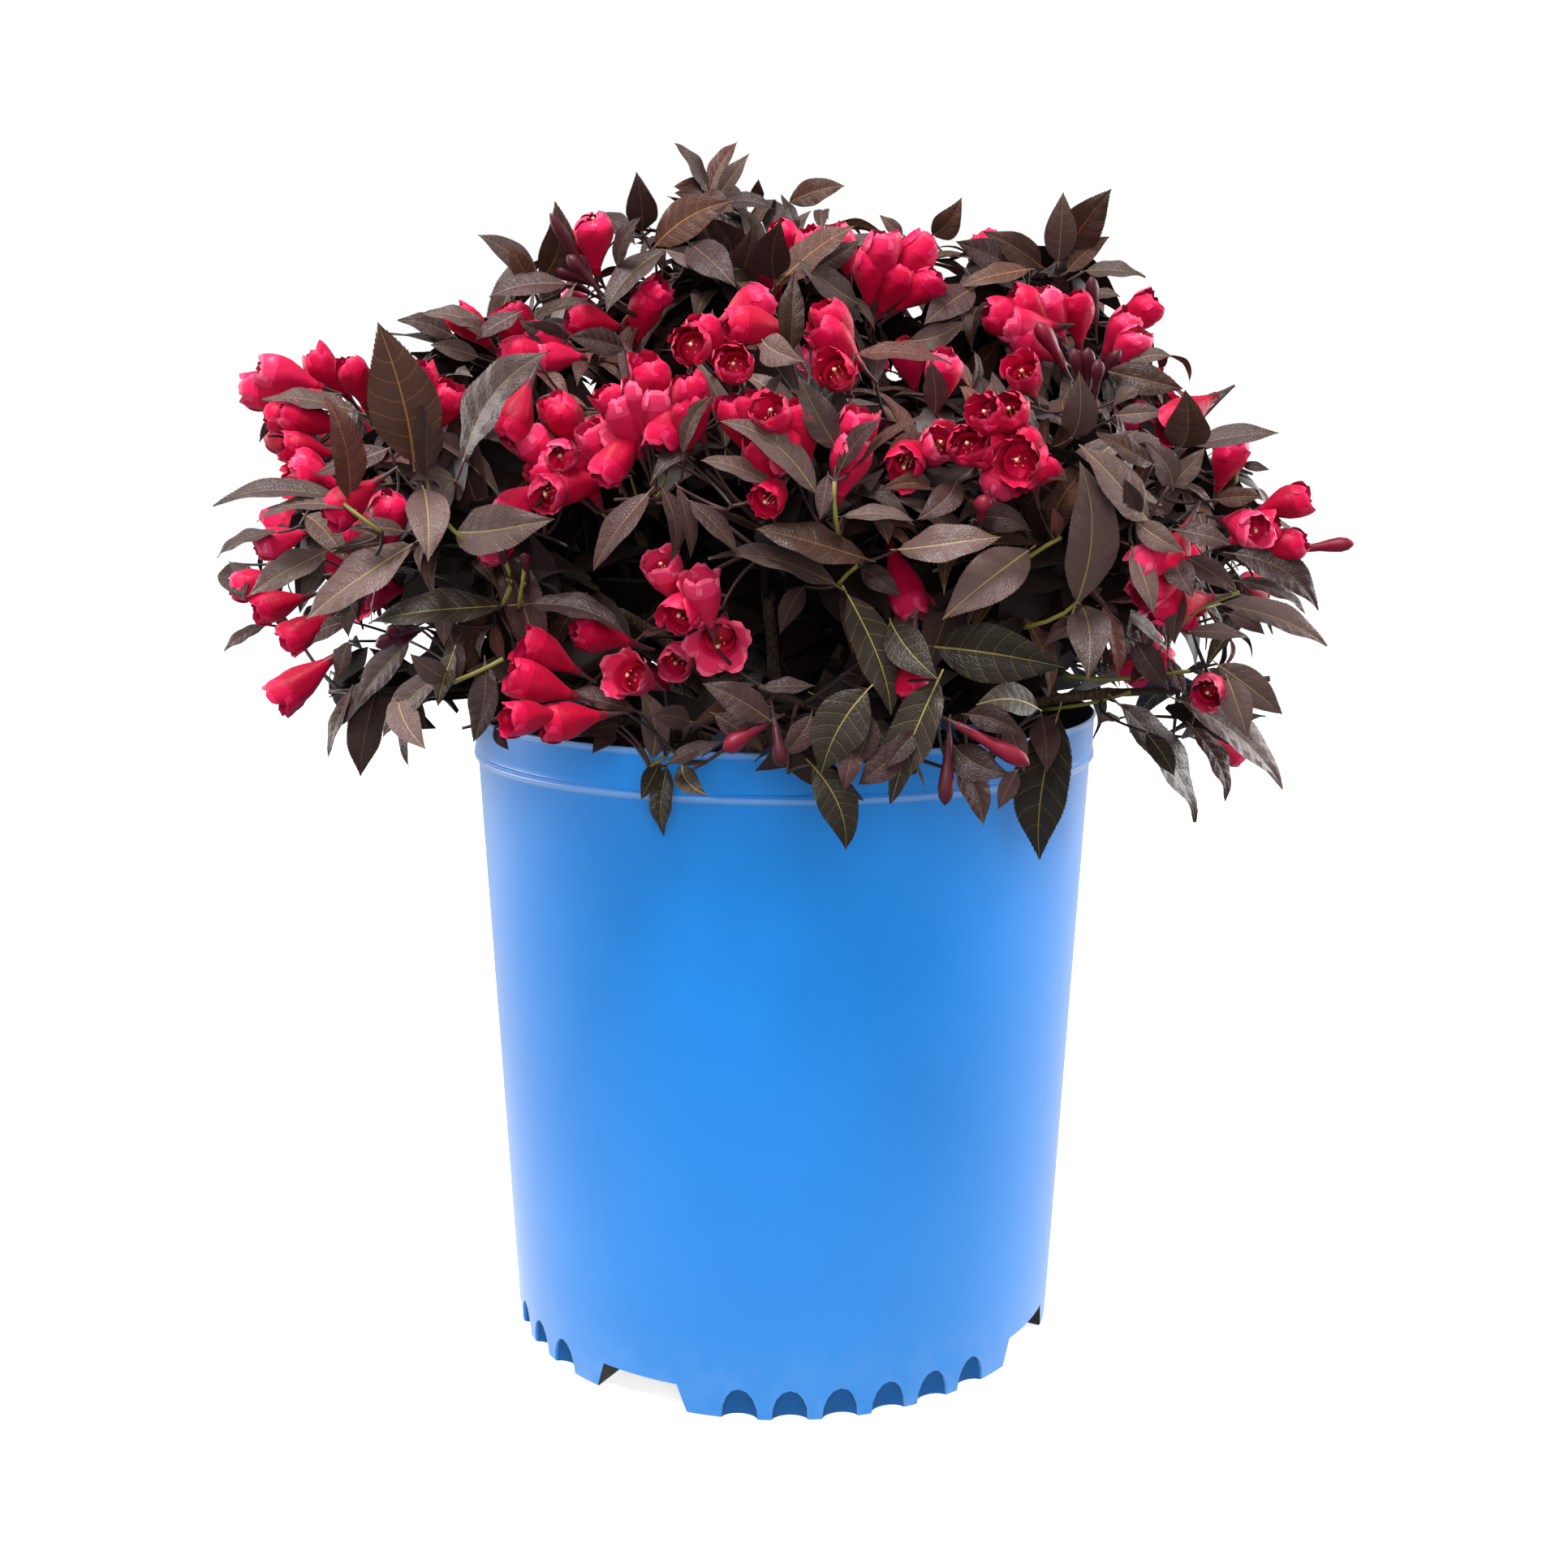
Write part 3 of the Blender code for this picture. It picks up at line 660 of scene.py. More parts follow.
chip_quads = [(0, 1, 3, 2), (4, 6, 7, 5), (0, 4, 5, 1), (2, 3, 7, 6), (0, 2, 6, 4), (1, 5, 7, 3)]
join_crop("bark_chips", chip_points, chip_quads, [], 0, 0, [chip.material], "potting_mix")

# %% [markdown]
# ## Woody foot and boughs
# The boughs are old wood: brown bark, split lengthwise, with a swelling at each old leaf joint. Each
# solid bough of the frame is read back into a centre line and a radius, and a finer tube with real
# relief is grown along it.

# %% Centre lines of the solid boughs
BOUGH_SLICES = 7
HEART = np.array((0.0, 0.0, 0.211))   # where the boughs leave the woody foot


def corners_of(name):
    mesh = nodes[name].data
    points = np.empty(len(mesh.vertices) * 3, np.float32)
    mesh.vertices.foreach_get("co", points)
    return points.reshape(-1, 3).astype(float)


def centre_line(name):
    """Points along the middle of a solid limb, from the end near the woody foot, and its radius there."""
    points = np.unique(np.round(corners_of(name), 6), axis=0)
    far = np.linalg.norm(points - HEART, axis=1)
    foot, tip = points[far.argmin()], points[far.argmax()]
    along = (points - foot) @ unit(tip - foot)
    cuts = np.linspace(along.min(), along.max(), BOUGH_SLICES + 1)
    line, radii = [foot], [0.0]
    for low, high in zip(cuts, cuts[1:]):
        inside_slice = points[(along >= low) & (along <= high)]
        if len(inside_slice) > 3:
            middle = inside_slice.mean(0)
            line.append(middle)
            radii.append(np.median(np.linalg.norm(inside_slice - middle, axis=1)))
    line.append(tip)
    return np.array(line), np.array(radii[1:])


def line_steps(line):
    """How far along a line each of its points lies."""
    return np.concatenate([[0], np.cumsum(np.linalg.norm(np.diff(line, axis=0), axis=1))])


def on_line(line, steps, at):
    return np.stack([np.interp(at, steps, line[:, k]) for k in range(3)], -1)


def resample(line, count):
    """The same line with evenly spaced points, rounded at its corners."""
    for _ in range(2):
        middles = np.stack([line[:-1] * 0.75 + line[1:] * 0.25, line[:-1] * 0.25 + line[1:] * 0.75], 1).reshape(-1, 3)
        line = np.concatenate([line[:1], middles, line[-1:]])
    steps = line_steps(line)
    return on_line(line, steps, np.linspace(0, steps[-1], count))


bough_names = sorted(name for name in nodes if name.startswith("bough_"))
mass_names = sorted(name for name in nodes if name.startswith("foliage_"))
bough_lines = {name: centre_line(name) for name in bough_names}
for name in bough_names[:3]:
    line, radii = bough_lines[name]
    print(name, len(line), "points, radius", np.round(radii * 1000, 2), "mm")
print(f"boughs: {len(bough_names)}, masses: {len(mass_names)}")

# %% Tubes along lines


def hint_beside(along, steep):
    """A direction that isn't parallel to `along`: X where that is steep, and Z elsewhere."""
    return np.where(np.abs(along[:, 2:]) > steep, [(1.0, 0, 0)], [(0, 0, 1.0)])


def tubes(lines, radii, sides):
    """Round tubes along many lines at once: lines (n, k, 3) and radii (n, k) give points, quads and caps."""
    count, stations = lines.shape[:2]
    along = unit(np.gradient(lines, axis=1))
    chord = unit(lines[:, -1] - lines[:, 0])
    side = squared(np.broadcast_to(hint_beside(chord, 0.8)[:, None], lines.shape), along)
    other = np.cross(along, side)
    turn = turns(sides)
    ring = side[:, :, None] * np.cos(turn)[:, None] + other[:, :, None] * np.sin(turn)[:, None]
    points = lines[:, :, None] + ring * radii[:, :, None, None]
    points = points.reshape(count, stations * sides, 3)
    fans = [(0, b + 1, b) for b in range(1, sides - 1)]
    top = (stations - 1) * sides
    fans += [(top, top + b, top + b + 1) for b in range(1, sides - 1)]
    return points, ring_quads(stations, sides), np.array(fans)


# %% Bark relief
BARK_SIDES = 16
BARK_STATIONS = 44
RIDGE_DEPTH, KNOT_DEPTH = 0.16, 0.35          # as shares of the limb's radius
BOUGH_SLIM, BOUGH_FOOT, BOUGH_END = 0.97, 0.55, 0.75   # radii against the solid's: all over, first and last

bark = Finish("old_bark", (0.110, 0.062, 0.038), 0.82, Specular_IOR_Level=0.3)
fissure = bark.between(bark.mottle(900, 4, (1, 1, 0.22)), 0.36, 0.66)
patch = bark.between(bark.mottle(160, 3), 0.35, 0.65)
bark_tone = bark.blend(fissure, (0.026, 0.015, 0.010), (0.115, 0.068, 0.042))
bark.drive("Base Color", bark.blend(patch * 0.45, bark_tone, (0.140, 0.100, 0.072)))
bark.drive("Roughness", fissure * 0.15 + 0.70)
bark.relief(fissure, 0.0005)


def barked(points, middle, radius, seed):
    """Points of a limb pushed in and out: long fissures, and knots every few centimetres."""
    out = unit(points - middle)
    moved = points.copy()
    for i, (p, o) in enumerate(zip(points, out)):
        ridge = noise.noise(Vector((p[0] * 900, p[1] * 900, p[2] * 260 + seed)))
        knot = max(0.0, noise.noise(Vector((p[0] * 120, p[1] * 120, p[2] * 120 + 7 * seed)))) ** 2
        moved[i] = p + o * radius[i] * (RIDGE_DEPTH * ridge + KNOT_DEPTH * knot)
    return moved


bough_points, bough_quads, bough_caps, shift = [], [], [], 0
t = np.linspace(0, 1, BARK_STATIONS)
for number, name in enumerate(bough_names):
    line, radii = bough_lines[name]
    line = resample(line, BARK_STATIONS)
    radius = np.interp(t, [0.06, 0.94], [radii[1], radii[-2]]) * BOUGH_SLIM
    radius[0] *= BOUGH_FOOT
    radius[-1] *= BOUGH_END
    tube, quads, fans = tubes(line[None], radius[None], BARK_SIDES)
    wood = barked(tube[0], np.repeat(line, BARK_SIDES, 0), np.repeat(radius, BARK_SIDES), number)
    bough_points.append(wood)
    bough_quads.append(quads + shift)
    bough_caps.append(fans + shift)
    shift += len(wood)
boughs = mesh_object(
    "boughs", np.concatenate(bough_points), np.concatenate(bough_quads), np.concatenate(bough_caps), [bark.material]
)
part_of_plant(boughs, "bark", *bough_names)
print(f"boughs: {triangles_in(boughs)} triangles")

# %% Woody foot
FOOT_SIDES, FOOT_RINGS = 48, 22
foot_low, foot_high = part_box("stem_base")
# height and radius
foot_section = [
    (0.2050, 0.0146), (0.2063, 0.0152), (0.2110, 0.0176), (0.2170, 0.0160), (0.2215, 0.0118), (0.2230, 0.0040),
]
foot_z = np.linspace(foot_section[0][0], foot_section[-1][0], FOOT_RINGS)
foot_r = np.interp(foot_z, *zip(*foot_section))
foot_points = []
for z, r in zip(foot_z, foot_r):
    for a in turns(FOOT_SIDES):
        spread = r * (1 + 0.05 * math.sin(3 * a + 40 * z) + 0.03 * math.cos(5 * a))
        p = Vector((spread * math.cos(a), spread * math.sin(a), z))
        spread = 1 + 0.10 * noise.noise(p * 260) + 0.07 * noise.noise(Vector((p.x * 800, p.y * 800, p.z * 200)))
        foot_points.append((p.x * spread, p.y * spread, z))
foot_points.append((0, 0, foot_z[-1] + 0.0004))
foot_quads = ring_quads(FOOT_RINGS, FOOT_SIDES)
foot_triangles = fan(FOOT_SIDES, (FOOT_RINGS - 1) * FOOT_SIDES, len(foot_points) - 1)
foot = mesh_object("woody_foot", foot_points, foot_quads, foot_triangles, [bark.material])
part_of_plant(foot, "bark", "stem_base")
print(f"woody foot: {triangles_in(foot)} triangles, {foot_z[0]:.4f} to {foot_points[-1][2]:.4f} m high; "
      f"its solid {foot_low.z:.4f} to {foot_high.z:.4f} m")

# %% [markdown]
# ## The crown as a place to grow in
# The masses of foliage say how far the crown reaches in each direction. They are never shown: they are
# turned into one search tree that answers two questions, how far out a shoot may go and at what depth
# a spot of the photograph meets the crown.

# %% Surface of the crown
HEART_OF_CROWN = Vector((0.0, 0.0, 0.255))
SEARCH_FROM, SEARCH_STEP, SEARCH_STEPS = 0.45, 0.006, 80   # along a sight line that misses the crown
SEARCH_DEPTH = 0.12               # before and behind the pot's axis
SKIN_TRIES = 900
tree_points, tree_faces = [], []
mass_points = {}
for name in mass_names:
    mesh = nodes[name].data
    base = len(tree_points)
    tree_points += [v.co.copy() for v in mesh.vertices]
    tree_faces += [tuple(base + i for i in polygon.vertices) for polygon in mesh.polygons]
    mass_points[name] = corners_of(name)
crown = BVHTree.FromPolygons(tree_points, tree_faces)


def crown_depth(spot):
    """The depth y at which a sight line meets the crown, or passes nearest to it."""
    line = sight(spot).normalized()
    hit = crown.ray_cast(CAMERA_PLACE, line)[0]
    if hit is not None:
        return hit.y
    best = (1e9, 0.0)
    for k in range(SEARCH_STEPS):
        p = CAMERA_PLACE + line * (SEARCH_FROM + SEARCH_STEP * k)
        if abs(p.y) < SEARCH_DEPTH:
            best = min(best, (crown.find_nearest(p)[3], p.y))
    return best[1]


def depth_inside(point):
    """How far behind the crown's skin a point lies on its sight line; 0 where the skin doesn't cover it."""
    line = Vector(point) - CAMERA_PLACE
    hit = crown.ray_cast(CAMERA_PLACE, line.normalized())[0]
    return max(0.0, line.length - (hit - CAMERA_PLACE).length) if hit is not None else 0.0


def outer_spots(name, spacing, chance):
    """Spread points on the part of a mass's surface that faces out of the crown, with their directions."""
    mesh = nodes[name].data
    mesh.calc_loop_triangles()
    corners = corners_of(name)[np.array([t.vertices[:] for t in mesh.loop_triangles])]
    across = np.cross(corners[:, 1] - corners[:, 0], corners[:, 2] - corners[:, 0])
    area = np.linalg.norm(across, axis=1)
    picked = chance.choice(len(area), SKIN_TRIES, p=area / area.sum())
    a, b = np.sqrt(chance.uniform(0, 1, SKIN_TRIES)), chance.uniform(0, 1, SKIN_TRIES)
    spots = (
        corners[picked, 0] * (1 - a)[:, None]
        + corners[picked, 1] * (a * (1 - b))[:, None]
        + corners[picked, 2] * (a * b)[:, None]
    )
    chosen = []
    for spot, normal in zip(spots, unit(across[picked])):
        p = Vector(spot)
        out = (p - HEART_OF_CROWN).normalized()
        if normal[2] < -0.75 or out.dot(Vector(normal)) < 0.1:
            continue
        if any((p - other).length < spacing for other, _ in chosen):
            continue
        if crown.ray_cast(p + out * 0.002, out)[0] is None:
            chosen.append((p, out))
    return chosen


print(f"crown: {len(tree_faces)} faces to search")

# %% [markdown]
# ## What can be seen from the front
# A rule alone gives some weigela, not this one. So the blooms and leaves that give this plant its look
# are named here, spray by spray: where each starts and ends in the photograph, read from its 1932
# pixel frame. All the rest of the crown, and its sides and back, comes from the branching rule.

# %% Leaves that show
# Each leaf: base across, base down, tip across, tip down, width, kind of leaf.
SEEN_LEAVES = {
    "left_shoulder": [
        (510, 570, 467, 404, 82, "umber"), (570, 570, 677, 435, 48, "slate"), (431, 620, 400, 489, 41, "russet"),
        (479, 552, 389, 585, 30, "plum"), (442, 508, 324, 493, 22, "slate"), (522, 602, 527, 689, 52, "slate"),
        (560, 592, 506, 593, 18, "slate"), (557, 590, 542, 620, 16, "slate"), (562, 655, 680, 640, 60, "slate"),
        (527, 590, 522, 470, 34, "slate"), (500, 655, 430, 652, 22, "plum"), (613, 415, 560, 393, 18, "russet"),
    ],
    "left_edge": [
        (424, 615, 265, 624, 22, "slate"), (431, 626, 318, 643, 17, "slate"), (342, 656, 268, 687, 15, "slate"),
        (407, 676, 305, 735, 36, "slate"), (509, 670, 376, 765, 50, "slate"), (283, 694, 300, 739, 40, "plum"),
        (505, 790, 440, 870, 33, "slate"), (440, 700, 430, 785, 30, "slate"), (400, 690, 372, 735, 20, "slate"),
        (430, 765, 365, 802, 26, "plum"), (330, 770, 276, 802, 12, "plum"),
    ],
    "left_below": [
        (624, 746, 455, 768, 42, "olive"), (653, 744, 770, 781, 33, "plum"), (466, 842, 444, 957, 42, "plum"),
        (432, 850, 405, 935, 16, "slate"), (430, 790, 418, 838, 20, "plum"), (546, 829, 472, 909, 33, "slate"),
        (490, 857, 524, 922, 40, "slate"), (516, 861, 505, 946, 14, "plum"), (598, 816, 583, 915, 37, "plum"),
        (609, 898, 627, 924, 14, "plum"), (545, 748, 547, 797, 22, "slate"), (556, 785, 568, 838, 24, "plum"),
        (550, 836, 506, 806, 32, "slate"), (800, 606, 731, 705, 35, "plum"), (470, 830, 410, 905, 22, "plum"),
        (560, 800, 540, 870, 24, "olive"),
    ],
    "top_spray": [
        (872, 238, 831, 177, 18, "slate"), (874, 238, 909, 175, 24, "russet"), (884, 242, 923, 190, 22, "slate"),
        (872, 238, 831, 238, 25, "plum"), (791, 285, 784, 213, 37, "plum"), (972, 250, 1041, 229, 30, "umber"),
        (984, 288, 962, 240, 16, "slate"), (872, 240, 831, 230, 26, "umber"), (935, 248, 935, 221, 16, "plum"),
        (890, 250, 953, 258, 18, "plum"), (868, 250, 905, 262, 26, "umber"),
    ],
    "top_left": [
        (664, 346, 589, 290, 30, "slate"), (664, 346, 683, 249, 42, "umber"), (700, 350, 603, 366, 26, "plum"),
        (655, 350, 628, 300, 26, "umber"), (820, 308, 886, 350, 26, "slate"), (850, 300, 905, 352, 44, "plum"),
        (744, 262, 783, 302, 28, "plum"), (821, 307, 748, 385, 30, "slate"), (806, 304, 903, 248, 44, "umber"),
        (905, 345, 927, 278, 42, "plum"), (760, 330, 790, 268, 20, "plum"), (640, 385, 585, 420, 22, "plum"),
        (560, 415, 490, 395, 24, "plum"), (590, 440, 530, 425, 24, "slate"), (600, 405, 520, 388, 22, "slate"),
        (700, 420, 640, 395, 30, "plum"), (770, 430, 700, 415, 34, "plum"),
    ],
    "top_right": [
        (956, 352, 1055, 279, 36, "umber"), (955, 345, 962, 274, 44, "plum"), (1005, 330, 1060, 295, 26, "plum"),
        (974, 432, 980, 334, 33, "umber"), (1058, 374, 984, 321, 33, "slate"), (1148, 289, 1184, 244, 33, "umber"),
        (1113, 290, 1084, 265, 16, "slate"), (1200, 354, 1140, 399, 40, "plum"), (1054, 436, 1172, 450, 24, "russet"),
        (1152, 509, 1146, 444, 30, "plum"), (930, 330, 880, 335, 30, "olive"), (1190, 330, 1240, 318, 26, "plum"),
        (1120, 420, 1190, 395, 30, "slate"), (940, 420, 990, 445, 40, "slate"),
    ],
    "right_shoulder": [
        (1307, 323, 1368, 235, 50, "umber"), (1304, 324, 1310, 238, 38, "slate"), (1284, 329, 1212, 286, 36, "umber"),
        (1248, 327, 1179, 298, 38, "plum"), (1338, 368, 1380, 366, 12, "slate"), (1375, 512, 1436, 508, 24, "slate"),
        (1314, 336, 1367, 292, 25, "umber"), (1336, 334, 1411, 342, 21, "slate"), (1268, 332, 1184, 354, 26, "umber"),
        (1440, 600, 1484, 552, 28, "slate"), (1390, 448, 1444, 439, 18, "slate"), (1364, 457, 1457, 479, 38, "umber"),
        (1321, 539, 1329, 459, 43, "slate"), (1445, 600, 1410, 545, 34, "slate"), (1455, 552, 1460, 482, 54, "umber"),
        (1464, 548, 1575, 534, 24, "slate"), (1420, 572, 1350, 534, 26, "umber"), (1400, 640, 1385, 590, 26, "plum"),
        (1400, 480, 1372, 500, 20, "umber"), (1530, 572, 1564, 579, 12, "plum"), (1498, 616, 1554, 612, 24, "umber"),
        (1416, 643, 1330, 548, 46, "slate"), (1400, 643, 1459, 680, 32, "slate"), (1446, 652, 1518, 671, 25, "plum"),
    ],
    "right_edge": [
        (1518, 682, 1623, 752, 42, "plum"), (1458, 728, 1448, 795, 26, "slate"), (1465, 778, 1538, 786, 20, "slate"),
        (1396, 679, 1421, 757, 30, "slate"), (1461, 686, 1525, 729, 30, "plum"), (1448, 690, 1470, 735, 36, "plum"),
        (1503, 744, 1634, 796, 30, "slate"), (1525, 716, 1608, 756, 20, "slate"), (1512, 756, 1558, 782, 20, "plum"),
        (1500, 818, 1580, 880, 42, "slate"), (1450, 862, 1581, 973, 38, "slate"), (1376, 865, 1473, 1014, 40, "slate"),
        (1468, 895, 1510, 988, 23, "plum"), (1512, 835, 1537, 908, 37, "slate"), (1412, 902, 1447, 956, 27, "olive"),
        (1430, 800, 1392, 845, 20, "russet"), (1440, 810, 1462, 858, 18, "russet"),
        (1380, 885, 1353, 893, 16, "slate"), (1340, 760, 1285, 798, 26, "plum"), (1400, 790, 1440, 850, 34, "plum"),
    ],
    "middle": [
        (1007, 611, 887, 519, 37, "slate"), (1033, 554, 984, 464, 41, "slate"), (1033, 583, 1087, 517, 26, "plum"),
        (1046, 583, 1148, 513, 12, "russet"), (842, 562, 878, 489, 20, "umber"), (815, 600, 825, 692, 26, "plum"),
        (835, 600, 850, 690, 22, "plum"), (1069, 689, 930, 652, 41, "umber"), (1032, 722, 873, 688, 37, "slate"),
        (1038, 636, 1128, 643, 20, "slate"), (1106, 677, 1234, 662, 45, "slate"), (1269, 677, 1163, 762, 61, "slate"),
        (1326, 744, 1330, 571, 63, "slate"), (1332, 746, 1340, 834, 53, "slate"), (991, 722, 961, 781, 30, "plum"),
        (850, 618, 908, 682, 26, "plum"), (955, 600, 862, 568, 22, "slate"), (1060, 700, 1110, 735, 30, "plum"),
        (1180, 590, 1130, 640, 36, "plum"), (1200, 640, 1270, 655, 34, "plum"), (1300, 665, 1296, 625, 16, "russet"),
        (1020, 585, 1010, 640, 24, "plum"),
    ],
    "front_low": [
        (1151, 797, 1308, 822, 73, "olive"), (1044, 732, 1098, 881, 53, "olive"), (1098, 767, 1155, 836, 49, "olive"),
        (1069, 850, 1012, 954, 69, "olive"), (1157, 836, 1098, 991, 61, "olive"), (1000, 942, 1042, 1048, 49, "olive"),
        (1175, 922, 1212, 1018, 37, "plum"), (1175, 918, 1244, 954, 45, "plum"), (1304, 879, 1281, 1060, 69, "olive"),
        (1279, 873, 1204, 869, 41, "olive"), (1253, 950, 1230, 997, 25, "plum"), (822, 944, 818, 1030, 30, "olive"),
        (840, 942, 871, 979, 30, "olive"), (812, 942, 790, 985, 26, "olive"), (951, 889, 865, 842, 41, "plum"),
        (1114, 918, 1057, 967, 41, "plum"), (1055, 909, 1040, 975, 30, "plum"), (758, 898, 730, 928, 26, "plum"),
        (803, 936, 788, 848, 36, "slate"), (785, 876, 678, 855, 26, "plum"), (765, 894, 700, 908, 24, "plum"),
        (822, 940, 892, 914, 22, "plum"), (880, 880, 940, 925, 30, "plum"), (1000, 880, 960, 930, 34, "plum"),
        (1130, 900, 1090, 950, 30, "plum"), (1283, 880, 1290, 950, 38, "plum"), (850, 890, 800, 880, 30, "plum"),
        (1000, 845, 935, 848, 20, "plum"), (1240, 885, 1262, 950, 30, "plum"), (1070, 880, 1050, 945, 34, "plum"),
        (1190, 880, 1260, 905, 34, "plum"),
    ],
}

# %% Flowers that show
# Each flower: base across, base down, mouth across, mouth down, how far open from 0 to 1.
SEEN_FLOWERS = {
    "left_edge": [
        (398, 478, 311, 450, 0.35), (398, 485, 291, 480, 0.4), (431, 491, 376, 428, 0.3), (450, 500, 427, 435, 0.3),
        (524, 535, 514, 443, 0.35), (524, 535, 561, 469, 0.4), (387, 509, 320, 517, 0.35), (410, 560, 342, 546, 0.4),
        (398, 587, 357, 557, 0.4), (410, 600, 353, 587, 0.45), (440, 610, 398, 639, 0.4), (361, 661, 309, 676, 0.35),
        (425, 530, 340, 502, 0.35), (420, 600, 352, 572, 0.4), (378, 735, 309, 754, 0.4), (408, 757, 346, 794, 0.5),
        (330, 715, 278, 724, 0.4), (413, 809, 335, 868, 0.55),
    ],
    "left_below": [
        (630, 650, 585, 691, 0.4), (640, 620, 605, 646, 0.25), (690, 600, 668, 606, 0.45), (712, 828, 638, 785, 0.46),
        (710, 858, 622, 830, 0.46), (690, 880, 618, 884, 0.46), (722, 884, 660, 892, 0.4), (808, 846, 765, 826, 0.6),
        (810, 850, 783, 824, 0.4),
    ],
    "upper_left": [
        (705, 432, 611, 435, 0.35), (705, 432, 642, 402, 0.35), (712, 440, 646, 439, 0.3), (698, 535, 675, 484, 0.35),
        (783, 535, 746, 469, 0.4), (705, 560, 686, 561, 0.46), (765, 535, 742, 558, 0.42), (760, 565, 738, 595, 0.4),
        (670, 560, 638, 528, 0.3), (640, 500, 620, 545, 0.3), (700, 600, 655, 560, 0.3),
    ],
    "top": [
        (735, 338, 728, 252, 0.1), (750, 400, 695, 387, 0.35), (780, 387, 821, 342, 0.35), (790, 395, 800, 352, 0.35),
        (862, 440, 846, 415, 0.46), (875, 420, 860, 383, 0.4), (912, 468, 903, 436, 0.46), (905, 388, 958, 358, 0.15),
        (1040, 420, 1017, 366, 0.35), (1035, 425, 1003, 392, 0.4), (1045, 480, 1025, 448, 0.5),
        (1078, 370, 1087, 280, 0.35), (1085, 380, 1144, 284, 0.4), (1100, 385, 1158, 332, 0.4),
        (1085, 384, 1119, 322, 0.35), (1070, 365, 1074, 304, 0.3), (925, 400, 890, 395, 0.35),
    ],
    "main_cluster": [
        (805, 530, 805, 432, 0.4), (795, 530, 785, 458, 0.35), (815, 530, 809, 472, 0.42), (846, 542, 854, 477, 0.4),
        (780, 540, 756, 481, 0.4), (710, 540, 682, 485, 0.35), (745, 560, 723, 517, 0.4), (722, 590, 700, 548, 0.4),
        (823, 530, 813, 558, 0.4), (690, 600, 670, 603, 0.4), (860, 520, 840, 455, 0.3),
    ],
    "middle": [
        (940, 540, 923, 477, 0.4), (960, 550, 944, 493, 0.45), (990, 550, 980, 489, 0.4), (942, 570, 935, 530, 0.42),
        (950, 570, 940, 583, 0.4), (966, 592, 938, 622, 0.46), (1050, 560, 1062, 497, 0.4),
        (1045, 570, 1055, 530, 0.35), (1130, 545, 1111, 575, 0.5), (1140, 575, 1160, 532, 0.48),
        (915, 520, 905, 480, 0.35),
    ],
    "upper_right": [
        (1290, 410, 1207, 379, 0.35), (1300, 415, 1243, 354, 0.35), (1310, 420, 1286, 350, 0.3),
        (1330, 425, 1325, 354, 0.3), (1300, 440, 1246, 404, 0.35), (1275, 490, 1257, 448, 0.46),
        (1371, 414, 1429, 364, 0.35), (1371, 420, 1396, 379, 0.3), (1290, 400, 1225, 400, 0.3),
        (1380, 440, 1410, 400, 0.3),
    ],
    "right_of_middle": [
        (1235, 540, 1214, 496, 0.46), (1258, 540, 1240, 492, 0.46), (1268, 570, 1257, 518, 0.25),
        (1266, 575, 1254, 560, 0.55), (1262, 580, 1300, 555, 0.4), (1235, 560, 1207, 539, 0.4),
        (1200, 570, 1185, 540, 0.46), (1255, 580, 1252, 607, 0.4), (1235, 585, 1208, 620, 0.1),
    ],
    "right_edge": [
        (1450, 515, 1425, 529, 0.4), (1500, 604, 1522, 538, 0.45), (1546, 632, 1618, 607, 0.35),
        (1505, 640, 1556, 652, 0.5), (1520, 665, 1579, 639, 0.35), (1550, 680, 1614, 664, 0.3),
        (1440, 690, 1425, 718, 0.35), (1430, 715, 1395, 736, 0.4), (1500, 840, 1485, 853, 0.5),
        (1410, 690, 1385, 700, 0.4), (1440, 745, 1410, 750, 0.3),
    ],
    "behind": [
        (1160, 470, 1166, 428, 0.3), (1125, 800, 1120, 866, 0.35), (735, 335, 704, 275, 0.2),
        (480, 640, 478, 598, 0.2), (1120, 440, 1115, 411, 0.3), (970, 300, 956, 268, 0.3),
        (1040, 310, 1033, 272, 0.35), (1000, 310, 993, 277, 0.3), (945, 325, 935, 297, 0.3), (630, 400, 613, 379, 0.3),
        (590, 410, 560, 375, 0.4), (640, 400, 625, 370, 0.3),
    ],
    "front_low": [
        (1096, 668, 1128, 768, 0.46), (893, 760, 883, 803, 0.86), (878, 778, 860, 703, 0.5),
        (868, 735, 830, 762, 0.46), (852, 790, 828, 822, 0.5), (840, 745, 812, 684, 0.5), (735, 780, 700, 770, 0.25),
    ],
}

# %% Buds that show
# Each bud: base across, base down, tip across, tip down, thickness from 0 to 1.
SEEN_BUDS = {
    "dark_top_left": [
        (731, 350, 678, 268, 0.5), (731, 350, 682, 293, 0.5), (731, 350, 699, 317, 0.6), (731, 350, 682, 334, 0.5),
        (731, 350, 711, 313, 0.6), (725, 360, 700, 345, 0.7),
    ],
    "upper_right": [
        (1335, 480, 1325, 432, 0.6), (1340, 480, 1343, 429, 0.6), (1350, 485, 1354, 446, 0.5),
        (1350, 470, 1379, 429, 0.5), (1350, 400, 1345, 343, 0.5), (1311, 452, 1280, 398, 0.95),
    ],
    "right_edge": [(1600, 677, 1666, 668, 0.8), (1208, 640, 1210, 612, 0.8)],
    "front_low": [
        (942, 893, 889, 922, 0.8), (955, 893, 963, 942, 0.6), (1169, 909, 1165, 987, 0.7), (1179, 893, 1269, 942, 0.9),
        (622, 700, 617, 676, 0.2), (648, 706, 649, 684, 0.2), (505, 775, 462, 795, 0.5), (508, 775, 475, 778, 0.5),
        (512, 780, 487, 792, 0.5), (505, 770, 492, 768, 0.4),
    ],
}

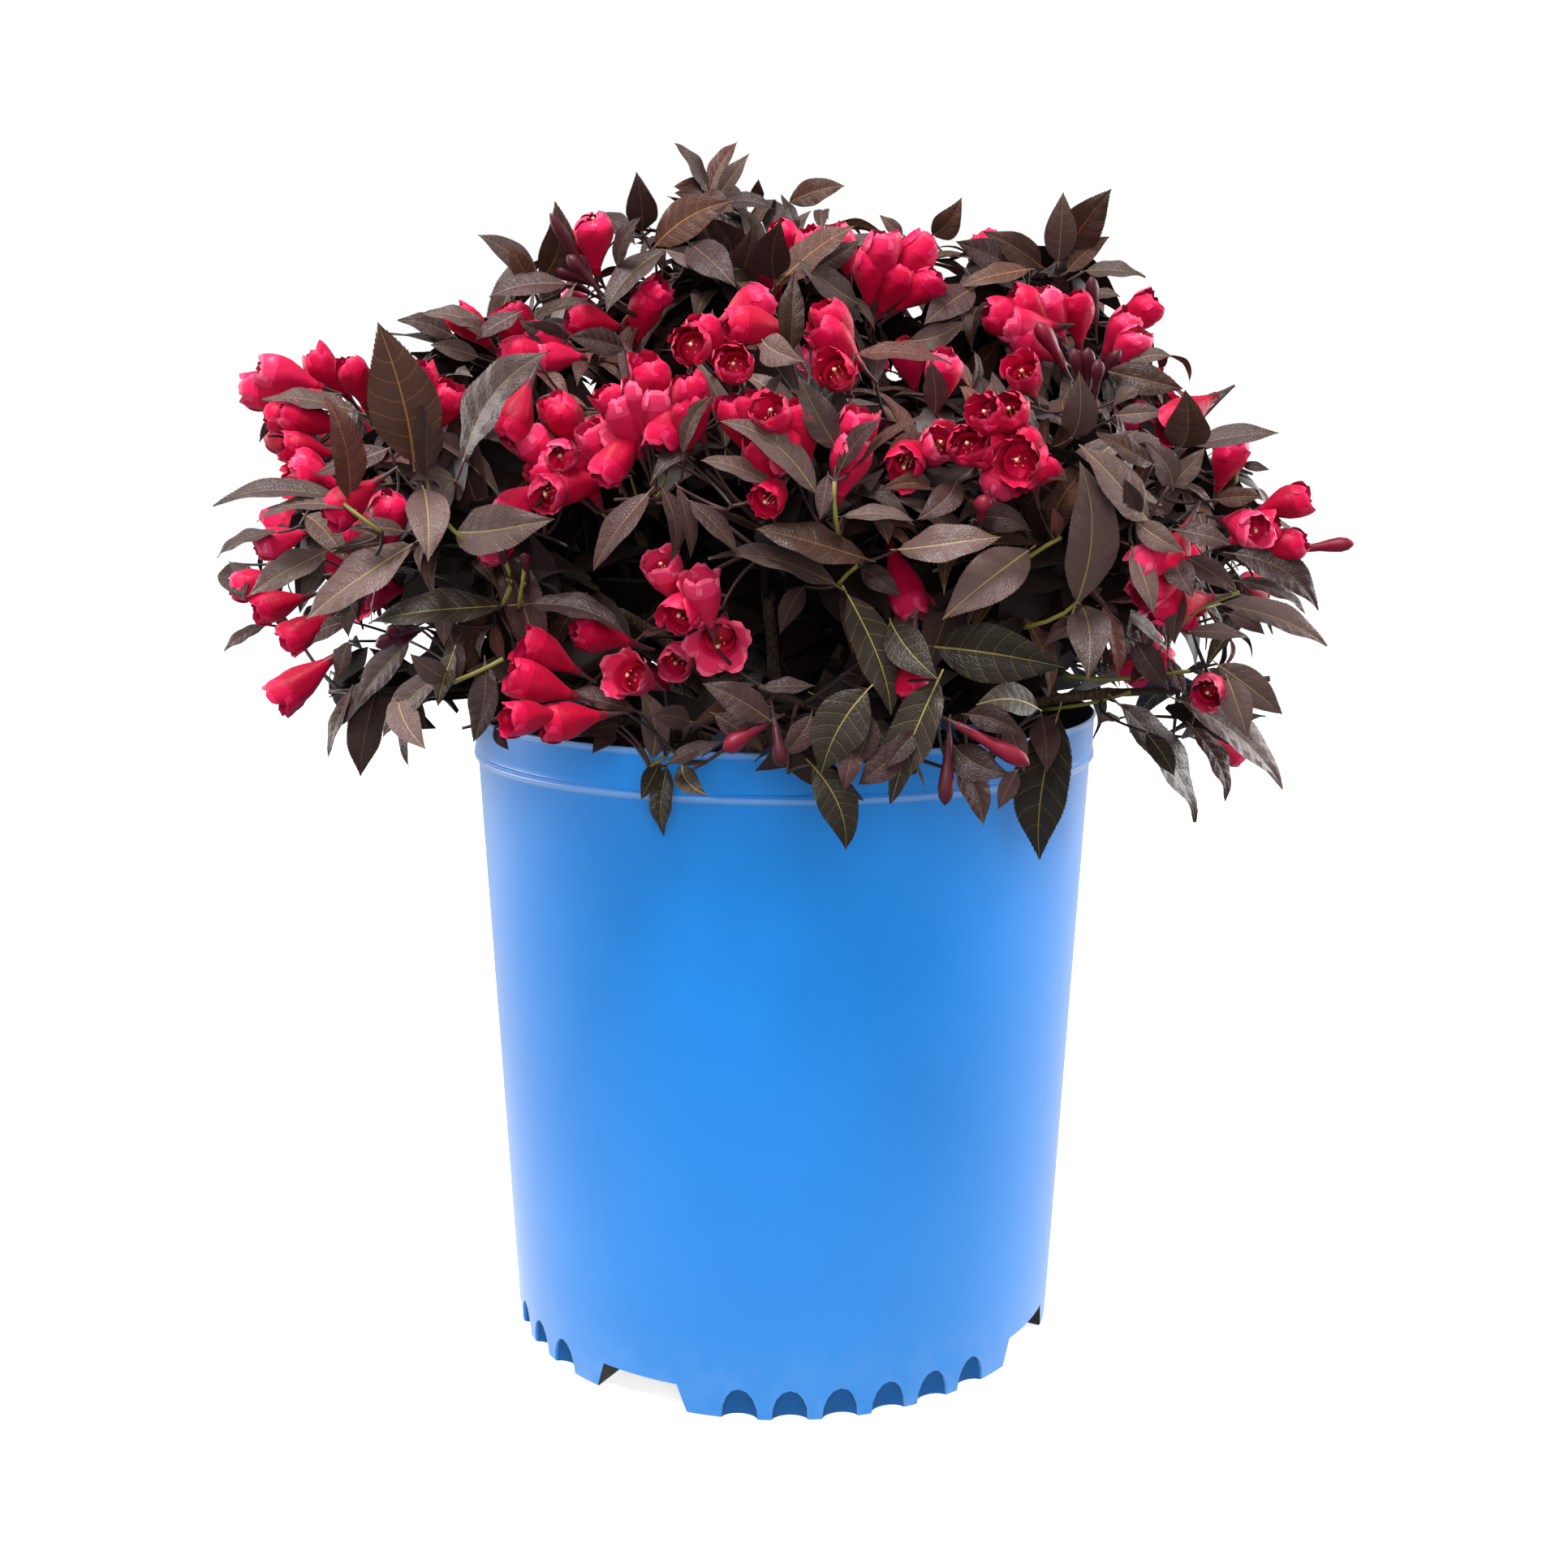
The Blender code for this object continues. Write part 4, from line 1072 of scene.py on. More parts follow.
# %% Stems that show
# Each stem: the spots it passes, from where it comes out of the crown to its tip.
SEEN_STEMS = [
    ((1262, 773), (1290, 767), (1327, 747), (1345, 718)), ((1262, 692), (1280, 677), (1307, 663)),
    ((1307, 830), (1337, 837), (1387, 837), (1433, 830), (1467, 827)),
    ((1283, 875), (1327, 870), (1360, 863), (1393, 853)), ((1450, 775), (1463, 760), (1490, 743), (1527, 730)),
    ((423, 620), (447, 640), (470, 655)), ((527, 617), (557, 653), (575, 668)),
    ((1033, 660), (1028, 630), (1028, 593)), ((620, 745), (632, 715), (620, 685)),
    ((640, 748), (643, 720), (648, 692)), ((560, 840), (590, 828), (620, 812)), ((825, 925), (812, 940), (800, 945)),
    ((1069, 690), (1050, 700), (1032, 722)),
]

# %% Dark gaps that show
# Each gap: across, down, radius; only growth deep inside the crown may show there.
SEEN_GAPS = [
    (705, 655, 52), (760, 640, 40), (890, 655, 62), (930, 760, 50), (780, 740, 40), (985, 830, 34), (1000, 430, 30),
]
GAP_DEPTH = -0.030
# Each spot of sky: across, down, radius; nothing that the rule grew crosses it.
SEEN_SKY = [
    (500, 790, 15), (470, 800, 9), (420, 792, 13), (395, 700, 10), (1435, 835, 17), (1410, 860, 12), (1465, 800, 12),
    (1500, 705, 10), (590, 950, 14), (560, 900, 10), (1345, 930, 12), (1540, 850, 14), (1395, 960, 14),
]

# %% Outline of the crown
# Spots round the crown from the left of the rim, over the top, to the right and back along the front.
# Single leaves that stick out further are named above; nothing that the rule grew crosses the line.
POT_HALF_ACROSS = 370             # half the rim's width in the photograph
RIM_DOWN = 890                    # below this the pot hides what grows behind it
SEEN_OUTLINE = [
    (596, 925), (565, 905), (530, 905), (500, 925), (478, 890), (455, 925), (425, 915), (402, 860), (410, 812),
    (390, 806), (345, 806), (330, 780), (298, 765), (305, 725), (290, 700), (310, 680), (300, 655), (330, 640),
    (322, 615), (345, 590), (325, 560), (312, 530), (318, 500), (345, 480), (400, 478), (432, 468), (445, 435),
    (470, 415), (488, 390), (515, 385), (545, 393), (590, 390), (602, 355), (620, 325), (638, 285), (660, 258),
    (690, 258), (745, 258), (770, 280), (798, 265), (812, 245), (840, 228), (870, 210), (905, 230), (950, 233),
    (985, 245), (1002, 257), (1050, 258), (1070, 285), (1085, 295), (1102, 275), (1150, 285), (1182, 295), (1230, 293),
    (1262, 310), (1292, 318), (1350, 312), (1368, 335), (1378, 366), (1402, 390), (1415, 418), (1450, 446),
    (1475, 476), (1495, 506), (1512, 526), (1542, 556), (1546, 598), (1566, 618), (1596, 638), (1606, 668),
    (1624, 700), (1630, 744), (1604, 760), (1578, 784), (1564, 812), (1580, 850), (1556, 900), (1534, 944),
    (1500, 930), (1480, 964), (1450, 932), (1425, 912), (1390, 908), (1365, 888), (1340, 930), (1290, 955),
    (1240, 975), (1180, 985), (1100, 992), (1040, 990), (980, 978), (900, 960), (840, 950), (780, 935), (740, 918),
    (680, 904), (640, 900),
]


def in_outline(across, down):
    """Whether spots of the photograph lie inside the outline, by counting its sides to their right."""
    inside = np.zeros(np.shape(across), bool)
    for (x0, y0), (x1, y1) in zip(SEEN_OUTLINE, SEEN_OUTLINE[1:] + SEEN_OUTLINE[:1]):
        if y0 != y1:
            inside ^= ((down < y0) != (down < y1)) & (across < x0 + (down - y0) * (x1 - x0) / (y1 - y0))
    return inside


def fits_photograph(points):
    """Whether points lie inside the outline, or behind the pot where the photograph can't show them."""
    points = np.array(points)
    across, down, _ = seen_at(points)
    over_pot = (down > RIM_DOWN) & (np.abs(across - PHOTO_SIDE / 2) < POT_HALF_ACROSS)
    return in_outline(across, down) | (over_pot & (points[..., 1] > 0))


# %% [markdown]
# ## The branching rule
# A weigela shoot carries its leaves in opposite pairs, each pair turned a quarter round from the one
# below. The rule follows that: every mass gets a limb that carries its bough on, shoots leave the limb
# for spread places under the crown's skin, and each shoot carries pairs that shrink towards its tip.

# %% Limbs and shoots
SHOOT_SPACING = 0.0275            # between the tips of neighbouring shoots
LOW_SPACING = 0.0370              # the same where a mass hangs beside the pot
SHOOT_INSET = 0.0130              # from the crown's skin to the tip of a shoot
LINE_POINTS = 10
LIMB_POINTS = 24
LIMB_SHARE, LOW_LIMB_SHARE, LEAST_SHARE = 0.62, 0.72, 0.2   # of the way to the mass's furthest shoot
SHORTEST_SHOOT = 0.012
LIFT, LOW_LIFT = 0.22, -0.10      # how far shoots arch up, as a share of their length
chance = np.random.default_rng(SEED + 1)


def curve(start, bend, end, count=LINE_POINTS):
    t = np.linspace(0, 1, count)[:, None]
    return np.array(start) * (1 - t) ** 2 + np.array(bend) * (2 * t * (1 - t)) + np.array(end) * t**2


# Radii of the wood at its foot and its tip.
LIMB_R, SHOOT_R, STEM_R, STALK_R = (0.00165, 0.0009), (0.0009, 0.00045), (0.00085, 0.00062), (0.0006, 0.00040)
TWIG_BROWN, TWIG_RED, TWIG_PLUM, TWIG_GREEN = range(4)      # the colours of its bark
twigs = Crop()
shoots = []
limb_points = []
for name in mass_names:
    hangs = "_low" in name
    line, _ = bough_lines[name.replace("foliage", "bough")]
    entry, heading = line[-1], unit(line[-1] - line[-2])
    middle = mass_points[name].mean(0)
    spots = outer_spots(name, LOW_SPACING if hangs else SHOOT_SPACING, chance)
    furthest = max(spots, key=lambda spot: (spot[0] - Vector(entry)).length)[0] if spots else Vector(middle)
    share = LOW_LIMB_SHARE if hangs else LIMB_SHARE
    while share > LEAST_SHARE and not fits_photograph(entry + (np.array(furthest) - entry) * share):
        share -= 0.08
    reach = entry + (np.array(furthest) - entry) * share
    limb = curve(entry - heading * 0.004, entry * 0.45 + middle * 0.55 + heading * 0.004, reach, LIMB_POINTS)
    twigs.add(line=resample(limb, LINE_POINTS), radii=LIMB_R, bark=TWIG_BROWN)
    limb_points.append(limb)
    for spot, out in spots:
        inset = SHOOT_INSET * chance.uniform(0.6, 1.5)
        tip = np.array(spot - out * inset)
        far = np.linalg.norm(limb - tip, axis=1) + np.linspace(0.010, 0, LIMB_POINTS)
        start = limb[min(far.argmin(), LIMB_POINTS - 3)]
        length = np.linalg.norm(tip - start)
        if length < SHORTEST_SHOOT or not fits_photograph(tip):
            continue
        lift = np.array((0, 0, LOW_LIFT if hangs else LIFT))
        bend = start * 0.45 + tip * 0.55 + lift * length + chance.normal(0, 0.06, 3) * length
        shoots.append({"line": curve(start, bend, tip), "hangs": hangs, "out": np.array(out)})
        bark_kind = int(chance.integers(TWIG_RED, TWIG_PLUM + 1))
        twigs.add(line=shoots[-1]["line"], radii=SHOOT_R, bark=bark_kind)
print(f"shoots: {len(shoots)} on {len(mass_names)} limbs")

# %% Leaf pairs along a shoot
PAIR_PLACES = (0.001, 0.008, 0.019, 0.033, 0.049, 0.067, 0.086, 0.106)
PAIR_LENGTHS = (0.015, 0.025, 0.035, 0.042, 0.044, 0.042, 0.038, 0.036)
PAIR_ANGLES = (24, 40, 54, 62, 68, 72, 76, 78)      # degrees between leaf and shoot
FINE_PAIRS = 3                                     # the outer pairs that get veins and teeth
SHOWS_TO = 0.020                                   # behind the skin, further pairs get them too
DROOP, LOW_DROOP = (0.10, 0.09), (0.36, 0.12)       # of the first pair, and more for each further one
UP = np.array((0.0, 0.0, 1.0))

leaves = Crop()
plain_leaves = Crop()


def leaf_kind(pair, height, chance):
    """Young tips are red-brown, sheltered low leaves olive, and the rest charcoal, plum or umber."""
    roll = chance.uniform()
    if pair == 0:
        return "russet" if roll < 0.75 else "umber"
    if pair == 1:
        return "umber" if roll < 0.45 else ("russet" if roll < 0.6 else "plum")
    if height < 0.25 and roll < 0.35:
        return "olive"
    return "slate" if roll < 0.42 else ("plum" if roll < 0.80 else "umber")


for shoot in shoots:
    line = shoot["line"][::-1]
    steps = line_steps(line)
    turn = chance.uniform(0, math.tau)
    vigour = chance.uniform(0.82, 1.12)
    for pair, place in enumerate(PAIR_PLACES):
        place = place * vigour + chance.uniform(-0.0015, 0.0015) * (pair > 0)
        if place > steps[-1] * 0.92:
            break
        base = on_line(line, steps, place)
        stem = unit(on_line(line, steps, max(place - 0.004, 0)) - on_line(line, steps, place + 0.004))
        side = squared(UP + chance.normal(0, 0.2, 3), stem)
        other = np.cross(stem, side)
        angle = turn + pair * math.pi / 2 + chance.normal(0, 0.2)
        for sign in (1, -1):
            spread = math.radians(PAIR_ANGLES[pair] + chance.normal(0, 9))
            away = (side * math.cos(angle) + other * math.sin(angle)) * sign
            first, more = LOW_DROOP if shoot["hangs"] else DROOP
            along = unit(stem * math.cos(spread) + away * math.sin(spread) - UP * (first + more * pair))
            length = PAIR_LENGTHS[pair] * vigour * chance.uniform(0.85, 1.15)
            face = UP * 0.8 + shoot["out"] * 0.5 + chance.normal(0, 0.28, 3)
            row = {
                "base": base, "along": along, "face": squared(face, along), "length": length,
                "width": length * chance.uniform(0.26, 0.36), "bow": chance.uniform(0.08, 0.24),
                "fold": chance.uniform(0.15, 0.60), "twist": chance.normal(0, 0.25),
                "kind": leaf_kind(pair, base[2], chance), "seen": False,
            }
            shows = depth_inside(base + along * length * 0.6) < SHOWS_TO
            (leaves if pair < FINE_PAIRS or shows else plain_leaves).add(**row)
print(f"leaves by rule: {len(leaves)} fine, {len(plain_leaves)} plain")

# %% Leaves inside the crown
# The inside of a dense shrub is full of older, shaded leaves on the limbs and the feet of the shoots.
# Their nearly black colour is painted shade.
INNER_LEAVES = 5200
INNER_INSET = 0.010               # their tips stay this far under the skin
inner_wood = np.concatenate([shoot["line"][:8] for shoot in shoots] + [points[::2] for points in limb_points] * 3)
inner_wood = np.concatenate([inner_wood] + [resample(bough_lines[name][0], 16)[5:] for name in bough_names] * 3)
for spot in inner_wood[chance.choice(len(inner_wood), INNER_LEAVES)]:
    along = unit(chance.normal(0, 1, 3) * (1, 1, 0.7) + np.array((spot[0], spot[1], 0)) * 3)
    length = chance.uniform(0.030, 0.046)
    tip = Vector(spot + along * length)
    out = (tip - HEART_OF_CROWN).normalized()
    if crown.ray_cast(tip + out * INNER_INSET, out)[0] is None or depth_inside(tip) < INNER_INSET:
        continue
    plain_leaves.add(
        base=spot + chance.normal(0, 0.004, 3), along=along, length=length, width=length * chance.uniform(0.36, 0.50),
        face=squared(UP + chance.normal(0, 0.5, 3), along), bow=chance.uniform(0.03, 0.15),
        fold=chance.uniform(0.1, 0.5), twist=chance.normal(0, 0.3), kind="soot", seen=False,
    )
print(f"leaves with those inside: {len(plain_leaves)}")

# %% [markdown]
# ## Putting the seen things in their places
# A spot of the photograph gives a sight line, and the crown's skin gives the depth. What is left is
# how far a leaf or flower leans towards the viewer: a leaf that looks short for its width, or a flower
# that looks short of the usual length, must point along the sight line by as much as its real length
# needs. None of them may leave the box of the CAD model.

# %% Seen leaves
LEAF_WIDTH_SHARE = 0.43
LONGEST_LEAF = 0.052
MOST_ROLL = 2.2                   # how much wider than it shows a leaf may be
RIM_KEEP_R = 0.1175
FLOWER_REACH = 0.006              # from a flower's tip to the CAD box; its lobes spread past the tip
RIM_KEEP_Z = 0.231
FRONT_OF_RIM = -0.075             # what hangs over the front of the rim starts at least this near
OVER_RIM_DOWN = 850               # that is what starts below this in the photograph
DEEPEST_BASE = 0.10
# How far under the skin seen things start.
LEAF_DEEPER, BUD_DEEPER, FLOWER_DEEPER, BEHIND_DEEPER = 0.006, 0.004, 0.013, 0.026
seen_discs = []                   # what seen things cover: across, down, how far off, radius
stem_feet = []                    # where their stalks have to lead


def pixel_size(point):
    return (Vector(point) - CAMERA_PLACE).length / FOCAL_LENGTH


def clear_of_pot(point):
    """The point, drawn towards the viewer until it is outside the pot's wall."""
    point = Vector(point)
    line = (CAMERA_PLACE - point).normalized()
    while point.z < RIM_KEEP_Z and math.hypot(point.x, point.y) < RIM_KEEP_R:
        point = point + line * 0.001
    return point


def lean(start, spot, real):
    """The end of a thing of that real length which starts at a point and ends at a spot of the photograph."""
    flat = at_depth(spot, start.y)
    short = (flat - start).length
    if short >= real:
        return flat
    line = (CAMERA_PLACE - start).normalized()
    tip = flat + line * math.sqrt(real**2 - short**2)
    front = cad_box[0].y + FLOWER_REACH
    return tip if tip.y > front else at_depth(spot, max(front, min(start.y, front + 0.004)))


def drawn_in(tip):
    """How far a flower has to move for its tip to lie well inside the CAD box."""
    low, high = cad_box
    return Vector(
        min(max(tip[n], low[n] + FLOWER_REACH), high[n] - FLOWER_REACH) - tip[n] for n in range(3)
    )


def seen_base(across, down, deeper, further):
    """Where a thing starts: at the crown's skin, or at the skin under a further spot of it if that is nearer."""
    y = max(min(crown_depth((across, down)), crown_depth(further)) + deeper, cad_box[0].y + 2 * FLOWER_REACH)
    if down > OVER_RIM_DOWN and abs(across - PHOTO_SIDE / 2) < POT_HALF_ACROSS:
        y = min(y, FRONT_OF_RIM)
    return clear_of_pot(at_depth((across, down), min(y, DEEPEST_BASE)))


def note_seen(base, tip, radii, stalk=0.0):
    """Keeps the discs that a seen thing covers, given by how far along they lie, and its stalk's end."""
    for t, radius in radii.items():
        x, y, far = seen_at(np.array(base.lerp(tip, t)))
        seen_discs.append((x, y, far, radius))
    stem_feet.append(np.array(base - (tip - base).normalized() * stalk) if stalk else np.array(base))


for rows in SEEN_LEAVES.values():
    for across, down, tip_across, tip_down, wide, kind in rows:
        base = seen_base(across, down, LEAF_DEEPER, ((across + tip_across) / 2, (down + tip_down) / 2))
        scale = pixel_size(base)
        flat_length = math.hypot(tip_across - across, tip_down - down) * scale
        visible_width = wide * scale
        real = flat_length
        if visible_width / flat_length > LEAF_WIDTH_SHARE:
            real = max(real, min(visible_width / LEAF_WIDTH_SHARE, 1.5 * flat_length, LONGEST_LEAF))
        tip = clear_of_pot(lean(base, (tip_across, tip_down), real))
        along = tip - base
        length = along.length
        along.normalize()
        width = max(visible_width, min(LEAF_WIDTH_SHARE * length, visible_width * MOST_ROLL))
        to_viewer = squared(np.array(CAMERA_PLACE - base), np.array(along))
        sideways = np.cross(np.array(along), to_viewer)
        roll = math.acos(min(1.0, max(0.25, visible_width / width)))
        faces = [to_viewer * math.cos(roll) + sideways * math.sin(roll) * sign for sign in (1, -1)]
        leaves.add(
            base=np.array(base), along=np.array(along), face=max(faces, key=lambda face: face[2]), length=length,
            width=width, bow=chance.uniform(0.05, 0.13), fold=chance.uniform(0.12, 0.36),
            twist=chance.normal(0, 0.20), kind=kind, seen=True,
        )
        note_seen(base, tip, {t: max(wide * 0.55 * (1.25 - t), 8) for t in (0.15, 0.4, 0.62, 0.85)})
print(f"seen leaves: {sum(len(rows) for rows in SEEN_LEAVES.values())}")

# %% Seen flowers and buds
FLOWER_LENGTH, SHORTEST_FLOWER = 0.0275, 0.0205
MOUTH_SHOWS = 0.45                # flowers less open than this are seen from the side
SIDE_ON = 0.76                    # of their length, drawn back behind their neighbours
FACES_VIEWER = 0.58               # flowers more open than this look straight at the viewer
CRIMSON_THICK, CRIMSON_LENGTH = 0.75, 0.017   # buds above these are about to open
FLOWER_STALK, BUD_STALK = 0.006, 0.005
MOST_SAG, BUD_SAG = 0.0022, 0.0008
PETAL_TINTS = 5
flowers = Crop()
buds = Crop()


def add_flower(base, tip, opening, chance):
    along = tip - base
    length = along.length
    along.normalize()
    flowers.add(
        base=np.array(base), along=np.array(along), length=length,
        size=chance.uniform(0.97, 1.12) * (length / FLOWER_LENGTH) ** 0.4, opening=opening,
        turn=chance.uniform(0, math.tau), tint=int(chance.integers(0, PETAL_TINTS)),
        sag=unit(squared(-UP + chance.normal(0, 0.4, 3), np.array(along))) * chance.uniform(0.0, MOST_SAG),
    )


def add_bud(base, along, length, size, turn, crimson, chance):
    buds.add(
        base=np.array(base), along=np.array(along), length=length, size=size, turn=turn, tint=int(crimson),
        sag=unit(chance.normal(0, 1, 3)) * BUD_SAG,
    )


for spray, rows in SEEN_FLOWERS.items():
    for across, down, tip_across, tip_down, opening in rows:
        deeper = BEHIND_DEEPER if spray == "behind" else FLOWER_DEEPER
        base = seen_base(across, down, deeper, (tip_across, tip_down))
        if opening < MOUTH_SHOWS:
            flat = math.hypot(tip_across - across, tip_down - down)
            back = max(0.0, SIDE_ON * FLOWER_LENGTH / pixel_size(base) / flat - 1)
            base = at_depth((across + (across - tip_across) * back, down + (down - tip_down) * back), base.y)
        flat = (at_depth((tip_across, tip_down), base.y) - base).length
        real = min(FLOWER_LENGTH, max(SHORTEST_FLOWER, 1.06 * flat))
        tip = lean(base, (tip_across, tip_down), 0.88 * FLOWER_LENGTH if opening > FACES_VIEWER else real)
        add_flower(base, tip, opening, chance)
        note_seen(base, tip, {t: 20 + 12 * t for t in (0.3, 0.65, 1.0)}, FLOWER_STALK)

for rows in SEEN_BUDS.values():
    for across, down, tip_across, tip_down, thick in rows:
        base = seen_base(across, down, BUD_DEEPER, (tip_across, tip_down))
        flat = (at_depth((tip_across, tip_down), base.y) - base).length
        tip = lean(base, (tip_across, tip_down), max(0.009, 1.05 * flat))
        turn = chance.uniform(0, math.tau)
        along = (tip - base).normalized()
        add_bud(base, along, (tip - base).length, 0.55 + 0.6 * thick, turn, thick > CRIMSON_THICK, chance)
        note_seen(base, tip, {0.3: 11, 1.0: 11}, BUD_STALK)
print(f"seen flowers: {len(flowers)}, seen buds: {len(buds)}")

# %% [markdown]
# The rule's own flowers fill what the photograph doesn't show. Each spray is a loose half-ball of
# three to six flowers with up to three buds, at a leaf joint just behind the tip of a shoot.

# %% Flowers by rule
BLOOM_SHARE = 0.34                # of the shoots that face away from the photograph
SPRAY_SPREAD = 0.62
SHOWS_THROUGH = 0.050             # so far behind the skin a flower could still be seen from the front
LONGEST_BUD = 0.022


def shows_in_photograph(point):
    return depth_inside(point) < SHOWS_THROUGH or not fits_photograph(point)


for shoot in shoots:
    tip = shoot["line"][-1]
    if shows_in_photograph(tip) or chance.uniform() > BLOOM_SHARE * (0.5 if shoot["hangs"] else 1):
        continue
    node_at = shoot["line"][-2 - int(chance.integers(0, 2))]
    out = shoot["out"] * 0.8 + unit(tip - node_at) * 0.5 + UP * 0.15
    for number in range(int(chance.integers(3, 7))):
        aim = unit(out + chance.normal(0, SPRAY_SPREAD, 3) * (0.75 if number else 0.3))
        start = Vector(node_at + aim * 0.008 + chance.normal(0, 0.002, 3))
        real = FLOWER_LENGTH * chance.uniform(0.88, 1.06)
        if shows_in_photograph(start + Vector(aim) * real):
            continue
        start += drawn_in(start + Vector(aim) * real)
        add_flower(start, start + Vector(aim) * real, float(chance.uniform(0.22, 0.68)), chance)
        stem_feet.append(np.array(start) - aim * FLOWER_STALK)
    for number in range(int(chance.integers(1, 4))):
        aim = unit(out + chance.normal(0, 0.7, 3))
        start = node_at + aim * 0.006
        length = chance.uniform(0.008, LONGEST_BUD)
        if shows_in_photograph(start + aim * length):
            continue
        add_bud(start, aim, length, 0.55 + 0.55 * length / LONGEST_BUD, 0.0, length > CRIMSON_LENGTH, chance)
        stem_feet.append(start - aim * BUD_STALK)
print(f"all flowers: {len(flowers)}, all buds: {len(buds)}")

# %% Stems in their places
STEM_FOOT_DEEPER = 0.030          # a stem comes out of the crown from this far behind its first spot
for spots in SEEN_STEMS:
    depth = sorted(crown_depth(spot) for spot in spots)[len(spots) // 2]
    line = [at_depth(spots[0], depth + STEM_FOOT_DEEPER)] + [clear_of_pot(at_depth(spot, depth)) for spot in spots]
    stem_feet.append(np.array(line[0]))
    line = np.array(line)
    twigs.add(line=resample(line, LINE_POINTS), radii=STEM_R, bark=TWIG_GREEN)
    limb_points.append(resample(line, LIMB_POINTS))
print(f"seen stems: {len(SEEN_STEMS)}")

# %% Stalks that carry them
# Every flower, bud and seen leaf is joined to the nearest shoot or limb by a thin young stalk. Those
# that start almost at the same spot share one.
STALK_APART, SHORTEST_STALK = 0.0025, 0.001
GREEN_STALK, BOWED_STALK, PLUM_STALK = 0.010, 0.015, 0.022   # up to this long, or longer than this
skeleton = np.concatenate([shoot["line"] for shoot in shoots] + limb_points)
carried = []
for place in stem_feet:
    if carried and np.linalg.norm(np.array(carried) - place, axis=1).min() < STALK_APART:
        continue
    carried.append(place)
    far = np.linalg.norm(skeleton - place, axis=1) + np.maximum(0, skeleton[:, 2] - place[2]) * 1.5
    start = skeleton[far.argmin()]
    length = np.linalg.norm(place - start)
    if length < SHORTEST_STALK:
        continue
    inward = unit(np.array(HEART_OF_CROWN) - place) * (0.34 if length > BOWED_STALK else 0.1)
    bend = start * 0.5 + place * 0.5 + (inward - UP * 0.08 + chance.normal(0, 0.05, 3)) * length
    last_kind = TWIG_GREEN if length < GREEN_STALK else TWIG_PLUM
    bark_kind = TWIG_PLUM if length > PLUM_STALK else int(chance.integers(TWIG_RED, last_kind + 1))
    twigs.add(line=curve(start, bend, place), radii=STALK_R, bark=bark_kind)
print(f"twigs: {len(twigs)}")

# %% Keep the rule's leaves out of the way
# A leaf of the rule goes if it stands in front of something seen, fills a seen gap or a spot of sky,
# crosses the outline, meets the pot or the mix, or leaves the box of the masses.
BOX_SPARE = 0.008
# Where a leaf is probed: share of its length, share of half its width.
PROBES = ((0.1, 0), (0.4, 1), (0.4, -1), (0.4, 0), (0.7, 0.7), (0.7, -0.7), (1.0, 0))
WALL_IN, WALL_OUT, WALL_TOP = 0.1070, 0.1150, 0.2295
SOIL_CLEAR = 0.002
masses_low = np.min([points.min(0) for points in mass_points.values()], 0)
masses_high = np.max([points.max(0) for points in mass_points.values()], 0)


def kept(crop):
    rows = crop.rows
    base, along, face = crop.column("base"), crop.column("along"), crop.column("face")
    length, width = crop.column("length")[:, None], crop.column("width")[:, None]
    side = np.cross(along, face)
    probes = np.stack([
        base + along * length * t + side * width * s * 0.5 for t, s in PROBES
    ], 1)
    across, down, far = seen_at(probes)

    def near(x, y, radius):
        return np.hypot(across - x, down - y) < radius

    goes = ~fits_photograph(probes)
    for x, y, depth, radius in seen_discs:
        goes |= near(x, y, radius * 0.9) & (far < depth + 0.001)
    for x, y, radius in SEEN_GAPS:
        goes |= near(x, y, radius) & (probes[..., 1] < GAP_DEPTH)
    for x, y, radius in SEEN_SKY:
        goes |= near(x, y, radius * 1.5)
    level, high = np.hypot(probes[..., 0], probes[..., 1]), probes[..., 2]
    goes |= (high < WALL_TOP) & (level > WALL_IN) & (level < WALL_OUT)
    goes |= (high < SOIL_TOP + SOIL_CLEAR) & (level <= WALL_IN)
    half = (masses_high - masses_low) / 2 + BOX_SPARE
    goes |= (np.abs(probes[..., 0]) > half[0]) | (high > masses_high[2] + BOX_SPARE)
    goes |= np.abs(probes[..., 1] - (masses_high[1] + masses_low[1]) / 2) > half[1]
    crop.rows = [row for row, out in zip(rows, goes.any(1)) if row["seen"] or not out]
    return len(rows) - len(crop.rows)


print(f"taken out: {kept(leaves)} fine and {kept(plain_leaves)} plain leaves")

# %% [markdown]
# ## One leaf
# The leaf is a pointed oval with a toothed edge, folded a little along its midrib and bent back at its
# tip. Its face is quilted: the side veins lie low and the panels between them swell. All of that is
# drawn in lines that run from the midrib to the edge, slanting forwards as the veins do. One template
# holds the lines, and array sums bend it into every leaf of the crown at once.

# %% Leaf template
VEINS = (0.085, 0.205, 0.335, 0.470, 0.605, 0.740)
VEIN_HALF = 0.0042                # half the width of a side vein, as a share of the leaf's length
ACROSS = (0.0, 0.32, 0.68, 1.0)   # stations from midrib to edge
TOOTH = 0.00038
MIDRIB_HALF = 0.00034
TYPICAL_LEAF = 0.042              # teeth and midribs are sized for this length
SWELL, EDGE_WAVE = 0.050, 0.045   # of the panels and of the edge, as shares of the leaf's width
BLADE, VEIN, MIDRIB = range(3)    # the roles of a leaf's faces


def slant(u):
    return 0.36 * np.sqrt(u) * (1 - u)


def half_width(t):
    """The outline of the leaf, 1 at its widest."""
    t = np.clip(t, 0, 1)
    return t**0.95 * (1 - t) ** 1.25 / 0.2222


